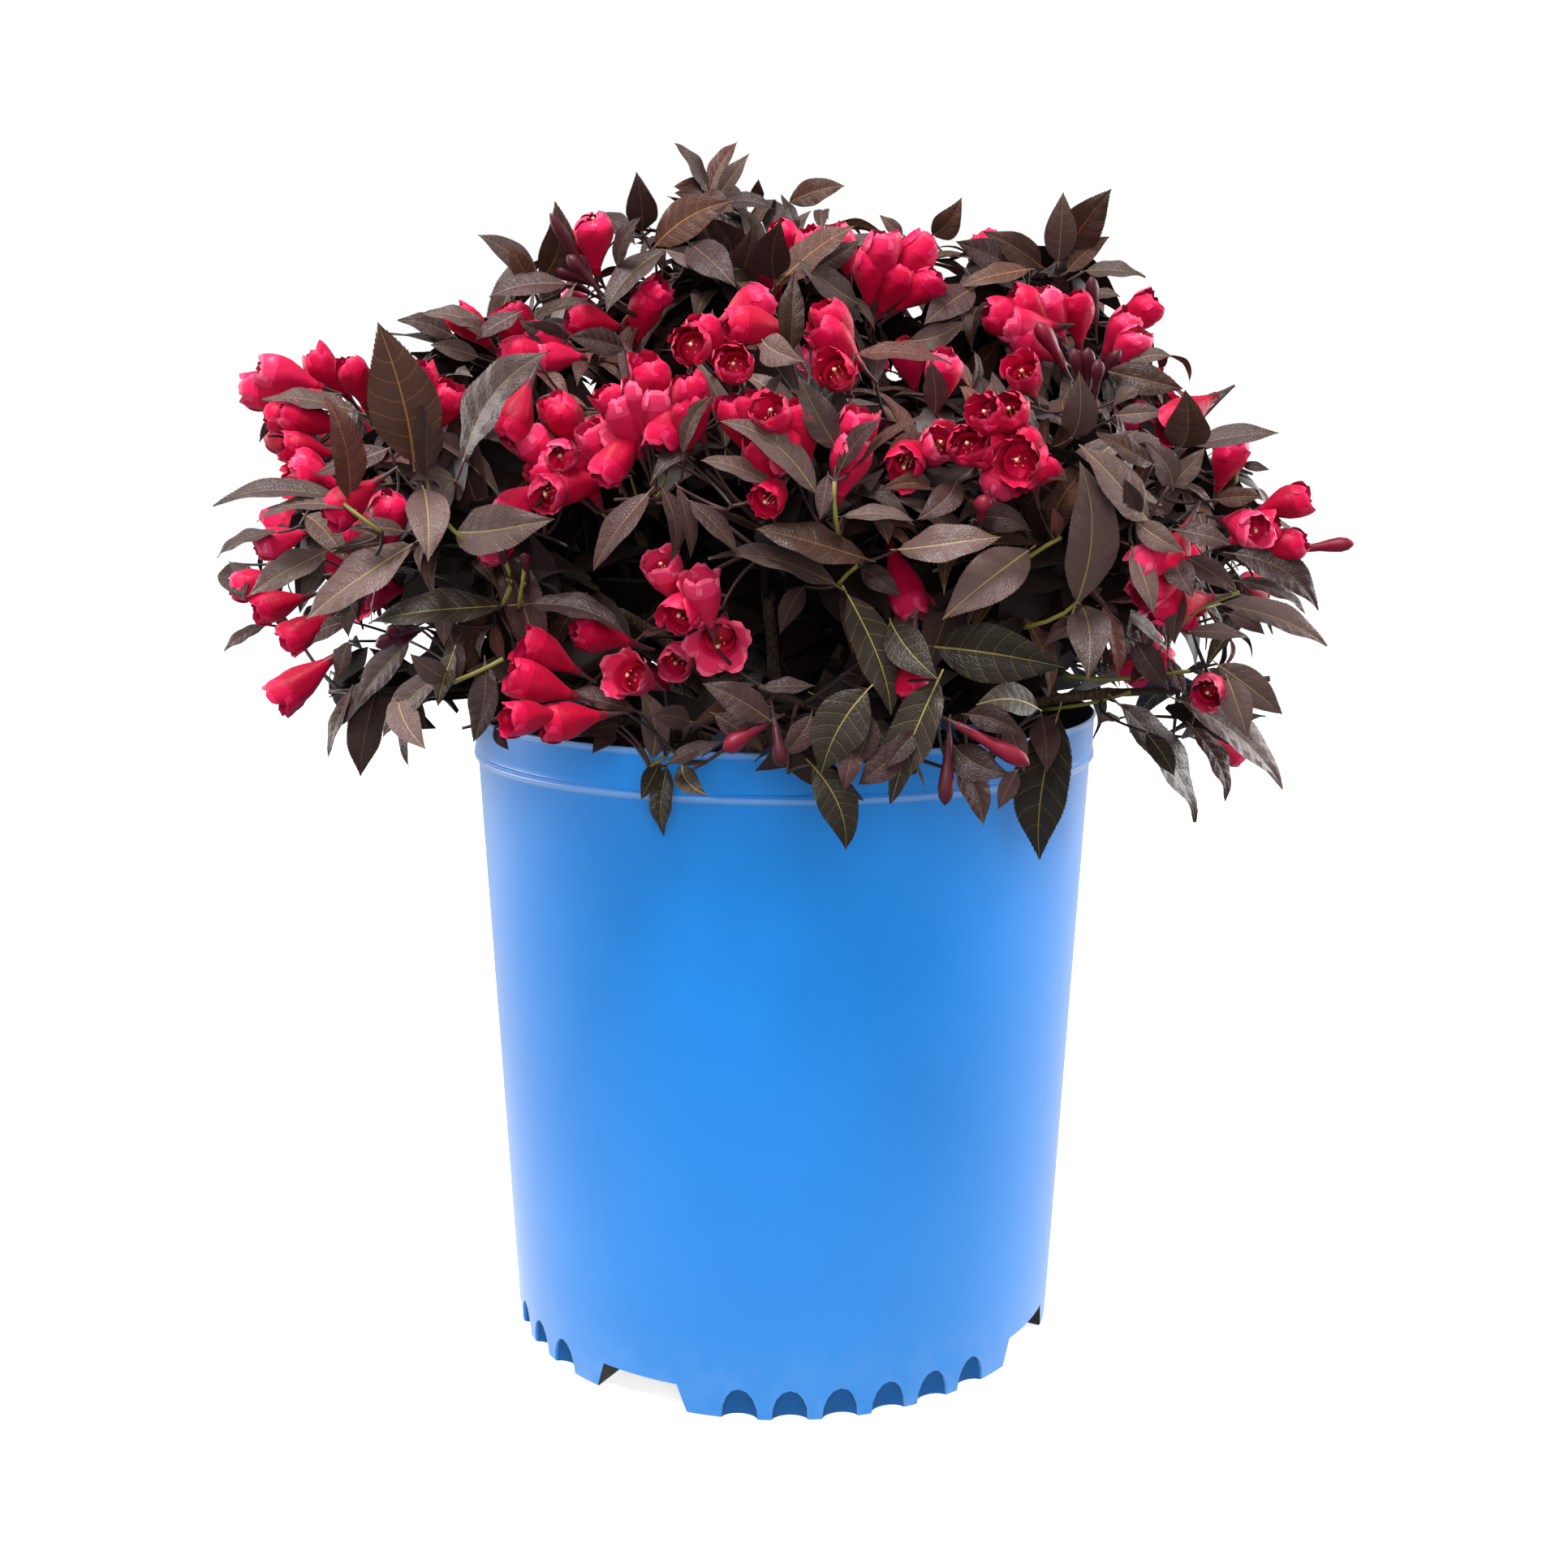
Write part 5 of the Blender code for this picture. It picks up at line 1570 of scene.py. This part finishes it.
class LeafTemplate:
    """Columns for every point of a leaf: place along and across, side, swell, tooth and lift."""

    def __init__(self, lines, across, teeth, stalk):
        self.points = []
        self.quads, self.triangles, self.quad_roles, self.triangle_roles = [], [], [], []
        grid = {}
        for i, (u, swell, _) in enumerate(lines):
            for side in (-1, 1):
                for j, q in enumerate(across):
                    grid[i, side, j] = self.put(u, q, side, swell)
        for i in range(len(lines) - 1):
            role = lines[i + 1][2]
            self.face(grid[i, -1, 0], grid[i, 1, 0], grid[i + 1, 1, 0], grid[i + 1, -1, 0], MIDRIB)
            for side in (-1, 1):
                for j in range(len(across) - 1):
                    a, b = grid[i, side, j], grid[i, side, j + 1]
                    c, d = grid[i + 1, side, j + 1], grid[i + 1, side, j]
                    self.face(*((a, b, c, d) if side > 0 else (a, d, c, b)), role)
                if teeth and 0 < i < len(lines) - 2 and role == BLADE:
                    a, b = grid[i, side, len(across) - 1], grid[i + 1, side, len(across) - 1]
                    low, high = lines[i][0], lines[i + 1][0]
                    middle = self.put((low + high) / 2, 1.0, side, 0.0)
                    for start, end, u in ((a, middle, (low + high) / 2), (middle, b, high)):
                        apex = self.put(u, 1.0, side, 0.0, tooth=1.0)
                        self.triangles.append((start, apex, end) if side > 0 else (start, end, apex))
                        self.triangle_roles.append(BLADE)
        if stalk:
            rings = [
                [self.put(u, 0, side, 0, lift=lift) for side, lift in ((-1, 0), (1, 0), (0, -1.5))]
                for u in (-0.075, 0.03)
            ]
            for k in range(3):
                n = (k + 1) % 3
                self.face(rings[0][k], rings[0][n], rings[1][n], rings[1][k], MIDRIB)
        self.points = np.array(self.points)

    def put(self, u, q, side, swell, tooth=0.0, lift=0.0):
        self.points.append((u, q, side, swell, tooth, lift))
        return len(self.points) - 1

    def face(self, a, b, c, d, role):
        self.quads.append((a, b, c, d))
        self.quad_roles.append(role)


# Each line: place along, swell, role of the strip before it.
fine_lines = [(0.012, 0.0, BLADE)]
for vein in VEINS:
    before = fine_lines[-1][0]
    fine_lines.append(((before + vein) / 2, 1.0, BLADE))
    fine_lines.append((vein - VEIN_HALF, 0.0, BLADE))
    fine_lines.append((vein + VEIN_HALF, 0.0, VEIN))
fine_lines += [(0.82, 0.8, BLADE), (0.90, 0.4, BLADE), (0.995, 0.0, BLADE)]
fine_leaf = LeafTemplate(fine_lines, ACROSS, teeth=True, stalk=True)
plain_lines = [(u, 0.0, BLADE) for u in (0.03, 0.18, 0.38, 0.58, 0.80, 0.99)]
plain_leaf = LeafTemplate(plain_lines, (0.0, 1.0), teeth=False, stalk=False)
print(f"fine leaf: {2 * len(fine_leaf.quads) + len(fine_leaf.triangles)} triangles, plain: {2 * len(plain_leaf.quads)}")

# %% Bend the template into every leaf


def leaf_points(template, crop, chance):
    u, q, side, swell, tooth, lift = template.points.T[:, None, :]
    base, along, face = crop.column("base"), crop.column("along"), crop.column("face")
    cross = np.cross(along, face)
    length, width = crop.column("length")[:, None], crop.column("width")[:, None]
    bow, fold, twist = (crop.column(name)[:, None] for name in ("bow", "fold", "twist"))
    count = len(crop)
    phase, wave = chance.uniform(0, math.tau, (count, 1)), chance.uniform(0.2, 1.0, (count, 1))
    sway = chance.normal(0, 0.045, (count, 1))
    t = np.where(u > 0, u + slant(np.clip(u, 0, 1)) * q**1.3, u) + tooth * 0.008
    t = np.broadcast_to(np.minimum(t, 0.998), (count, t.shape[1]))
    edge = 0.5 * width * half_width(t)
    big = length / TYPICAL_LEAF
    widest_rib = np.where(t > 0.02, 0.4 * edge + 5e-5, 1)
    rib = np.minimum(MIDRIB_HALF * big * (1 - 0.72 * np.clip(t, 0, 1)), widest_rib)
    out = rib + np.maximum(edge - rib, 0) * q + tooth * TOOTH * big
    arch = bow * 4 * (0.75 * t - 0.25 * t**2 - 0.5 * t**3)
    slope = bow * 4 * (0.75 - 0.5 * t - 1.5 * t**2)
    bend = sway * 4 * t * (1 - t)
    wag = sway * 4 * (1 - 2 * t)
    tangent = unit(along[:, None] + face[:, None] * slope[..., None] + cross[:, None] * wag[..., None])
    top = squared(np.broadcast_to(face[:, None], tangent.shape), tangent)
    right = np.cross(tangent, top)
    turn = (twist * (t - 0.25))[..., None]
    right, top = right * np.cos(turn) + top * np.sin(turn), top * np.cos(turn) - right * np.sin(turn)
    spine = (
        base[:, None]
        + along[:, None] * (length * t)[..., None]
        + face[:, None] * (length * arch)[..., None]
        + cross[:, None] * (length * bend)[..., None]
    )
    sideways = out * np.cos(fold) * side
    raised = (
        out * np.sin(fold) * (1 - 0.45 * q)
        + SWELL * width * swell * np.sin(np.pi * np.minimum(q * 1.02, 1))
        + EDGE_WAVE * width * wave * q**2 * np.sin(5.2 * t * math.pi + phase + side)
        + lift * rib
    )
    return spine + right * sideways[..., None] + top * raised[..., None]


# %% [markdown]
# Colour is dealt out leaf by leaf, as plain base colours: an old leaf is charcoal with a grey bloom, a
# young one red-brown with orange veins, a low one olive with a yellow midrib, and one deep inside nearly
# black, which is painted shade. Each kind comes in three shades, so that neighbours seldom match.

# %% Leaf colours
# kind: blade, side veins, midrib
LEAF_COLOURS = {
    "slate": ((0.0770, 0.0440, 0.0395), (0.0790, 0.0560, 0.0400), (0.205, 0.155, 0.060)),
    "plum": ((0.0360, 0.0155, 0.0145), (0.0500, 0.0250, 0.0205), (0.120, 0.066, 0.036)),
    "umber": ((0.0530, 0.0225, 0.0155), (0.1100, 0.0450, 0.0210), (0.210, 0.095, 0.035)),
    "russet": ((0.0700, 0.0210, 0.0165), (0.1100, 0.0360, 0.0200), (0.190, 0.065, 0.030)),
    "olive": ((0.0230, 0.0160, 0.0110), (0.0750, 0.0570, 0.0220), (0.250, 0.205, 0.055)),
    # The nearly black of the leaves deep inside the crown is painted shade.
    "soot": ((0.0120, 0.0062, 0.0054), (0.0150, 0.0078, 0.0062), (0.022, 0.012, 0.008)),
}
LEAF_SHADES = (0.66, 1.0, 1.40)
PANELS = (30.0, 5.0)              # small swollen panels along the leaf and from midrib to edge
QUILT_RELIEF = 0.00013


def quilting(finish):
    """Swollen panels between the finest veins, in each leaf's own lines and rows."""
    place = finish.add("ShaderNodeAttribute", attribute_name="leaf_place", output=1)
    scaled = finish.add("ShaderNodeMapping", {"Vector": place, "Scale": (*PANELS, 1)})
    sockets = {"Vector": scaled, "Scale": 1.0, "Randomness": 0.75}
    panels = finish.add("ShaderNodeTexVoronoi", sockets, feature="DISTANCE_TO_EDGE")
    return finish.between(panels, 0.0, 0.32)


KINDS = list(LEAF_COLOURS)
leaf_materials = []
for role, part in enumerate(("blade", "vein", "midrib")):
    for kind in KINDS:
        for number, shade in enumerate(LEAF_SHADES):
            colour = tuple(c * shade for c in LEAF_COLOURS[kind][role])
            finish = Finish(
                f"leaf_{kind}_{part}_{number + 1}", colour, 0.46,
                Specular_IOR_Level=0.31, Sheen_Weight=0.05, Sheen_Roughness=0.40, Sheen_Tint=(0.88, 0.80, 0.76, 1),
            )
            if role == BLADE and kind != "soot":
                finish.relief(quilting(finish), QUILT_RELIEF, 0.7)
            leaf_materials.append(finish.material)


def leaf_slots(crop, roles, shade):
    """The material of every face: by its role in the leaf, the leaf's kind and the leaf's shade."""
    kind = np.array([KINDS.index(row["kind"]) for row in crop.rows])
    per_role = len(KINDS) * len(LEAF_SHADES)
    return np.array(roles, int)[None] * per_role + (kind * len(LEAF_SHADES) + shade)[:, None]


def round_the_plant(crop):
    """Sorts the rows by their bearing, so that each joined piece is one side of the plant."""
    crop.rows.sort(key=lambda row: math.atan2(row["base"][0], -row["base"][1]))


for name, crop, template in (("leaves", leaves, fine_leaf), ("inner_leaves", plain_leaves, plain_leaf)):
    round_the_plant(crop)
    points = leaf_points(template, crop, np.random.default_rng(SEED + 2))
    shade = np.random.default_rng(SEED + 3).choice(len(LEAF_SHADES), len(crop))
    quad_slots, triangle_slots = (leaf_slots(crop, r, shade) for r in (template.quad_roles, template.triangle_roles))
    own_place = np.broadcast_to(template.points[:, :3] * (1, 1, 0), points.shape).copy()
    own_place[..., 1] *= template.points[:, 2]
    own_place[..., 2] = np.arange(len(crop))[:, None] * 3.7
    pieces = join_crop(
        name, points, template.quads, template.triangles, quad_slots, triangle_slots, leaf_materials, "foliage",
        leaf_place=own_place,
    )
    if name == "leaves":
        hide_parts(*mass_names)

# %% [markdown]
# ## One flower
# A weigela flower is a funnel that ends in five rounded lobes, each overlapping the next. Most here are
# half open, with the lobes still cupped. The funnel is made of rings, and each lobe goes on from its
# fifth of the last ring: its line bends from the slope of the funnel to wherever the flower's opening
# takes it.

# %% Flower template
LOBES = 5
LOBE_COLUMNS = 6
TUBE_RINGS = (0.0, 0.16, 0.36, 0.60, 0.82, 1.0)
LOBE_ROWS = 5
THROAT_RINGS = (0.68, 0.84, 0.99)
THROAT_SIDES = 10
TUBE_SHARE = 0.62                 # of the flower's length
TUBE_FOOT_R, TUBE_MOUTH_R = 0.00115, 0.00490
around = LOBES * LOBE_COLUMNS
# Half width, half height and how far above the tube.
ANTHER, STIGMA = (0.00034, 0.0010, 0.0008), (0.00085, 0.0006, 0.0042)
STAMEN_OUT, FILAMENT_HALF = 0.0017, 0.00016
ORGAN_POINTS = 10                 # of one stamen or style


def tube_radius(s):
    """The funnel: narrow for its first fifth, then opening smoothly."""
    rise = np.clip((s - 0.08) / 0.92, 0, 1)
    return TUBE_FOOT_R + (TUBE_MOUTH_R - TUBE_FOOT_R) * (rise * rise * (3 - 2 * rise)) ** 0.85


def flower_faces():
    """Faces and roles: 0 foot, 1 tube, 2 lobe, 3 lobe's rim, 4 throat, 5 stamens, 6 style and stigma."""
    quads = ring_quads(len(TUBE_RINGS), around).tolist()
    roles = [0] * around + [1] * (len(quads) - around)
    last_ring = (len(TUBE_RINGS) - 1) * around
    first = len(TUBE_RINGS) * around
    per_lobe = LOBE_ROWS * (LOBE_COLUMNS + 1)
    for lobe in range(LOBES):
        rows = [[last_ring + (lobe * LOBE_COLUMNS + c) % around for c in range(LOBE_COLUMNS + 1)]]
        for q in range(LOBE_ROWS):
            start = first + lobe * per_lobe + q * (LOBE_COLUMNS + 1)
            rows.append(list(range(start, start + LOBE_COLUMNS + 1)))
        for q in range(LOBE_ROWS):
            for c in range(LOBE_COLUMNS):
                quads.append((rows[q][c], rows[q][c + 1], rows[q + 1][c + 1], rows[q + 1][c]))
                at_rim = q == LOBE_ROWS - 1 or (q > 1 and c in (0, LOBE_COLUMNS - 1))
                roles.append(1 if q == 0 else (3 if at_rim else 2))
    throat = first + LOBES * per_lobe
    quads += (ring_quads(len(THROAT_RINGS), THROAT_SIDES)[:, [0, 3, 2, 1]] + throat).tolist()
    roles += [4] * (len(quads) - len(roles))
    floor_point = throat + len(THROAT_RINGS) * THROAT_SIDES
    triangles = fan(THROAT_SIDES, throat, floor_point)[:, ::-1].tolist()
    triangle_roles = [4] * THROAT_SIDES
    organ = floor_point + 1
    for number in range(LOBES + 1):
        quads.append((organ, organ + 1, organ + 3, organ + 2))
        roles.append(5 + number // LOBES)
        head = organ + 4
        for a, b in ((0, 1), (1, 2), (2, 3), (3, 0)):
            triangles += [(head + a, head + b, head + 4), (head + b, head + a, head + 5)]
            triangle_roles += [5 + number // LOBES] * 2
        organ += ORGAN_POINTS
    return np.array(quads), np.array(triangles), np.array(roles), np.array(triangle_roles)


def spun(radius, angle, height):
    """Points round +Z, one row of them for each thing of a crop."""
    points = np.stack(np.broadcast_arrays(radius * np.cos(angle), radius * np.sin(angle), height), -1)
    return points.reshape(len(points), -1, 3)


def flower_points(crop, chance):
    """Points of every flower, worked out upright and then turned to its place."""
    count = len(crop)
    size = crop.column("size")[:, None]
    length = crop.column("length")[:, None]
    opening = crop.column("opening")[:, None]
    s = np.array(TUBE_RINGS)
    ring_angle = (np.arange(around) - LOBE_COLUMNS / 2) * math.tau / around
    ridged = 1 + 0.06 * np.cos(LOBES * ring_angle)[None, None] * s[None, :, None]
    swollen = (1 + 0.30 * (1 - opening))[..., None]
    radius = tube_radius(s)[None, :, None] * size[..., None] * ridged * swollen
    height = (s * TUBE_SHARE)[None, :, None] * length[..., None]
    tube = spun(radius, ring_angle, height)

    q = np.arange(1, LOBE_ROWS + 1) / LOBE_ROWS
    a = np.linspace(-1, 1, LOBE_COLUMNS + 1)
    lobe_length = (1 - TUBE_SHARE - 0.03) * length * chance.uniform(0.9, 1.08, (count, LOBES))
    start_slope = np.radians(4 + 24 * opening)
    end_slope = np.radians(-125 + 210 * opening + chance.normal(0, 15, (count, LOBES)))
    middle = q - 0.5 / LOBE_ROWS
    slope = start_slope[..., None] + (end_slope - start_slope)[..., None] * middle
    stride = lobe_length[..., None] / LOBE_ROWS
    mouth = TUBE_MOUTH_R * size * swollen[..., 0]
    reach = np.cumsum(np.sin(slope) * stride, -1)
    rise = np.cumsum(np.cos(slope) * stride, -1)
    rounding = 1 - 0.27 * np.abs(a)[None, None, None] ** 2.5 * q[None, None, :, None] ** 2
    radius = mouth[..., None, None] + reach[..., None] * rounding
    height = (TUBE_SHARE * length)[..., None, None] + rise[..., None] * rounding
    foot_half = mouth * math.pi / LOBES
    grown = np.sin(np.minimum(q / 0.55, 1) * math.pi / 2)
    half = foot_half[..., None] + size[..., None] * (0.0022 * grown - 0.0020 * (np.maximum(q - 0.4, 0) / 0.6) ** 4)
    wrap = np.minimum(half[..., None] / np.maximum(radius, 0.0030), 1.0)
    lobe_angle = turns(LOBES)[None, :, None, None] + a[None, None, None] * wrap
    ruffle_at = chance.uniform(0, math.tau, (count, LOBES, 1, 1))
    q4, a4 = q[None, None, :, None], a[None, None, None, :]
    outward = 0.00085 * a4 * q4 - 0.00045 * np.exp(-((a4 / 0.25) ** 2)) * (1.1 - q4)
    outward = outward + 0.00050 * np.sin(2.6 * math.pi * a4 + ruffle_at + 2 * q4) * q4**2
    outward = outward * size[..., None, None]
    radius = radius + outward * np.cos(slope)[..., None]
    height = height - outward * np.sin(slope)[..., None]
    lobes = spun(radius, lobe_angle, height)

    s = np.array(THROAT_RINGS)
    radius = 0.86 * tube_radius(s)[None, :, None] * size[..., None] * swollen
    throat = spun(radius, turns(THROAT_SIDES), (s * TUBE_SHARE)[None, :, None] * length[..., None])
    floor_point = np.zeros((count, 1, 3))
    floor_point[:, 0, 2] = 0.62 * TUBE_SHARE * length[:, 0]

    organs = []
    for number in range(LOBES + 1):
        angle = math.tau * (number + 0.5) / LOBES
        wide, tall, above = STIGMA if number == LOBES else ANTHER
        top = TUBE_SHARE * length[:, 0] + above * size[:, 0] + chance.normal(0, 0.0004, count)
        out = (0.0 if number == LOBES else STAMEN_OUT) * chance.uniform(0.7, 1.3, count)
        x, y = out * math.cos(angle), out * math.sin(angle)
        low = TUBE_SHARE * 0.55 * length[:, 0]
        thin, zero = FILAMENT_HALF, np.zeros(count)
        organ = [
            (x - thin, y, low), (x + thin, y, low), (x - thin, y, top), (x + thin, y, top),
            (x + wide, y, top), (x, y + wide, top), (x - wide, y, top), (x, y - wide, top),
            (x, y, top + tall), (x, y, top - tall),
        ]
        organs.append(np.stack([np.stack([p + zero for p in point], -1) for point in organ], 1))
    local = np.concatenate([tube, lobes, throat, floor_point] + organs, 1)
    return placed_upright(local, crop)


def placed_upright(local, crop):
    """Turns points made along +Z to each thing's own place, direction, turn and sag."""
    along = crop.column("along")
    side = squared(hint_beside(along, 0.9), along)
    other = np.cross(along, side)
    turn = crop.column("turn")[:, None]
    across = side * np.cos(turn) + other * np.sin(turn)
    beside = np.cross(along, across)
    share = (local[..., 2:] / crop.column("length")[:, None, None]) ** 2
    return (
        crop.column("base")[:, None]
        + across[:, None] * local[..., :1] + beside[:, None] * local[..., 1:2] + along[:, None] * local[..., 2:]
        + crop.column("sag")[:, None] * np.maximum(share, 0)
    )


# %% Petal colours
# tint: foot, tube, lobe, rim of the lobe
# The rim's paler pink is a painted highlight; the darker foot and tube are partly the flower's deeper red and partly
# painted shade.
PETAL_COLOURS = (
    ((0.190, 0.001, 0.012), (0.360, 0.001, 0.026), (0.490, 0.003, 0.046), (0.560, 0.022, 0.088)),
    ((0.150, 0.001, 0.010), (0.300, 0.001, 0.020), (0.420, 0.001, 0.036), (0.500, 0.014, 0.070)),
    ((0.220, 0.001, 0.016), (0.410, 0.003, 0.036), (0.550, 0.010, 0.070), (0.620, 0.052, 0.130)),
    ((0.170, 0.001, 0.010), (0.330, 0.001, 0.022), (0.460, 0.002, 0.038), (0.540, 0.016, 0.074)),
    ((0.240, 0.002, 0.020), (0.460, 0.006, 0.048), (0.590, 0.024, 0.094), (0.660, 0.084, 0.168)),
)
PETAL_RELIEF = 0.00035
petal_materials = []
for role, part in enumerate(("foot", "tube", "lobe", "rim")):
    for tint, colours in enumerate(PETAL_COLOURS):
        petal = Finish(
            f"petal_{part}_{tint + 1}", colours[role], 0.50, Specular_IOR_Level=0.16,
            Sheen_Weight=0.03, Sheen_Tint=(1, 0.55, 0.70, 1), Subsurface_Weight=0.15,
            Subsurface_Radius=(1.0, 0.2, 0.3), Subsurface_Scale=0.002,
        )
        petal.relief(petal.mottle(650, 2), PETAL_RELIEF, 0.5)
        petal_materials.append(petal.material)
throat_red = Finish("petal_throat", (0.560, 0.006, 0.050), 0.6)
stamen = Finish("stamen_pink", (0.620, 0.220, 0.150), 0.6)
cream = Finish("stigma_cream", (0.640, 0.380, 0.200), 0.6)
petal_materials += [throat_red.material, stamen.material, cream.material]


def petal_slots(roles, crop):
    """Foot, tube, lobe and rim follow the flower's tint; throat and stamens are the same in all."""
    tint = crop.column("tint").astype(int)[:, None]
    roles = np.asarray(roles)[None]
    tints = len(PETAL_COLOURS)
    return np.where(roles < 4, roles * tints + tint, 4 * tints + roles - 4)


round_the_plant(flowers)
chance = np.random.default_rng(SEED + 4)
quads, triangles, roles, triangle_roles = flower_faces()
join_crop(
    "flowers", flower_points(flowers, chance), quads, triangles, petal_slots(roles, flowers),
    petal_slots(triangle_roles, flowers), petal_materials, None,
)

# %% [markdown]
# ## Buds, calyces and twigs
# A bud is a slim club, dark maroon while small and crimson when it is about to open. Under each flower
# and bud sits a dark ovary like a thin stalk, with five narrow points that hug the tube.

# %% Buds
BUD_RINGS = ((0.0, 0.42), (0.16, 0.46), (0.38, 0.60), (0.58, 0.86), (0.76, 1.0), (0.90, 0.80), (0.98, 0.36))
BUD_SIDES = 8
BUD_R = 0.0026
round_the_plant(buds)
bud_length, bud_size = buds.column("length")[:, None], buds.column("size")[:, None]
s, r = np.array(BUD_RINGS).T
radius = (BUD_R * r)[None, :, None] * bud_size[..., None] * (1 + 0.05 * np.cos(turns(BUD_SIDES) * 4))
local = spun(radius, turns(BUD_SIDES), s[None, :, None] * bud_length[..., None])
ends = np.zeros((len(buds), 1, 3))
ends[:, 0, 2] = bud_length[:, 0] * 1.02
local = np.concatenate([local, ends], 1)
top = (len(BUD_RINGS) - 1) * BUD_SIDES
bud_triangles = fan(BUD_SIDES, top, top + BUD_SIDES)
bud_materials = [
    Finish("bud_maroon", (0.050, 0.005, 0.011), 0.50, Specular_IOR_Level=0.3).material,
    Finish("bud_crimson", (0.150, 0.003, 0.018), 0.50, Specular_IOR_Level=0.3).material,
]
bud_slots = buds.column("tint").astype(int)[:, None]
join_crop(
    "buds", placed_upright(local, buds), ring_quads(len(BUD_RINGS), BUD_SIDES), bud_triangles, bud_slots, bud_slots,
    bud_materials, None,
)

# %% Calyces
SEPALS = 5
# height and radius
OVARY_RINGS = ((-0.0066, 0.00042), (-0.0030, 0.00058), (-0.0006, 0.00095), (0.0010, 0.00145))
SEPAL_R, SEPAL_TOP = 0.00235, 0.0068
calyces = Crop()
for crop in (flowers, buds):
    for row in crop.rows:
        slim = 1.0 if crop is flowers else 0.78 * row["size"]
        calyces.add(
            base=row["base"], along=row["along"], turn=row["turn"], sag=np.zeros(3), size=slim, length=SEPAL_TOP
        )
sides = SEPALS * 2
z, r = np.array(OVARY_RINGS).T
slim = calyces.column("size")[:, None]
cup = spun(r[None, :, None] * slim[..., None], turns(sides), z[None, :, None])
tips = spun(SEPAL_R * slim, (np.arange(SEPALS) * 2 + 0.5) * math.tau / sides, SEPAL_TOP)
top = (len(OVARY_RINGS) - 1) * sides
sepals = np.array([(top + 2 * i, top + 2 * i + 1, len(OVARY_RINGS) * sides + i) for i in range(SEPALS)])
calyx_dark = Finish("calyx_dark", (0.045, 0.012, 0.014), 0.55, Sheen_Weight=0.05)
local = placed_upright(np.concatenate([cup, tips], 1), calyces)
join_crop("calyces", local, ring_quads(len(OVARY_RINGS), sides), sepals, 0, 0, [calyx_dark.material], None)

# %% Twigs
TWIG_SIDES = 5
JOINTS, JOINT_SWELL = 4, 0.16
t = np.linspace(0, 1, LINE_POINTS)
foot_r, tip_r = twigs.column("radii").T[..., None]
joints = 1 + JOINT_SWELL * np.maximum(0, np.cos(t * math.tau * JOINTS)) ** 6
points, quads, fans = tubes(twigs.column("line"), (foot_r + (tip_r - foot_r) * t) * joints, TWIG_SIDES)
twig_materials = [
    Finish("twig_brown", (0.036, 0.020, 0.014), 0.7).material,
    Finish("twig_red", (0.040, 0.013, 0.011), 0.6).material,
    Finish("twig_plum", (0.020, 0.010, 0.009), 0.6).material,
    Finish("twig_green", (0.140, 0.125, 0.022), 0.55).material,
]
kinds = twigs.column("bark").astype(int)[:, None]
join_crop("twigs", points, quads, fans, kinds, kinds, twig_materials, "bark")

# %% Sizes and finish
total = sum(triangles_in(piece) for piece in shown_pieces() if piece.type == "MESH")
print(f"triangles in all: {total}")
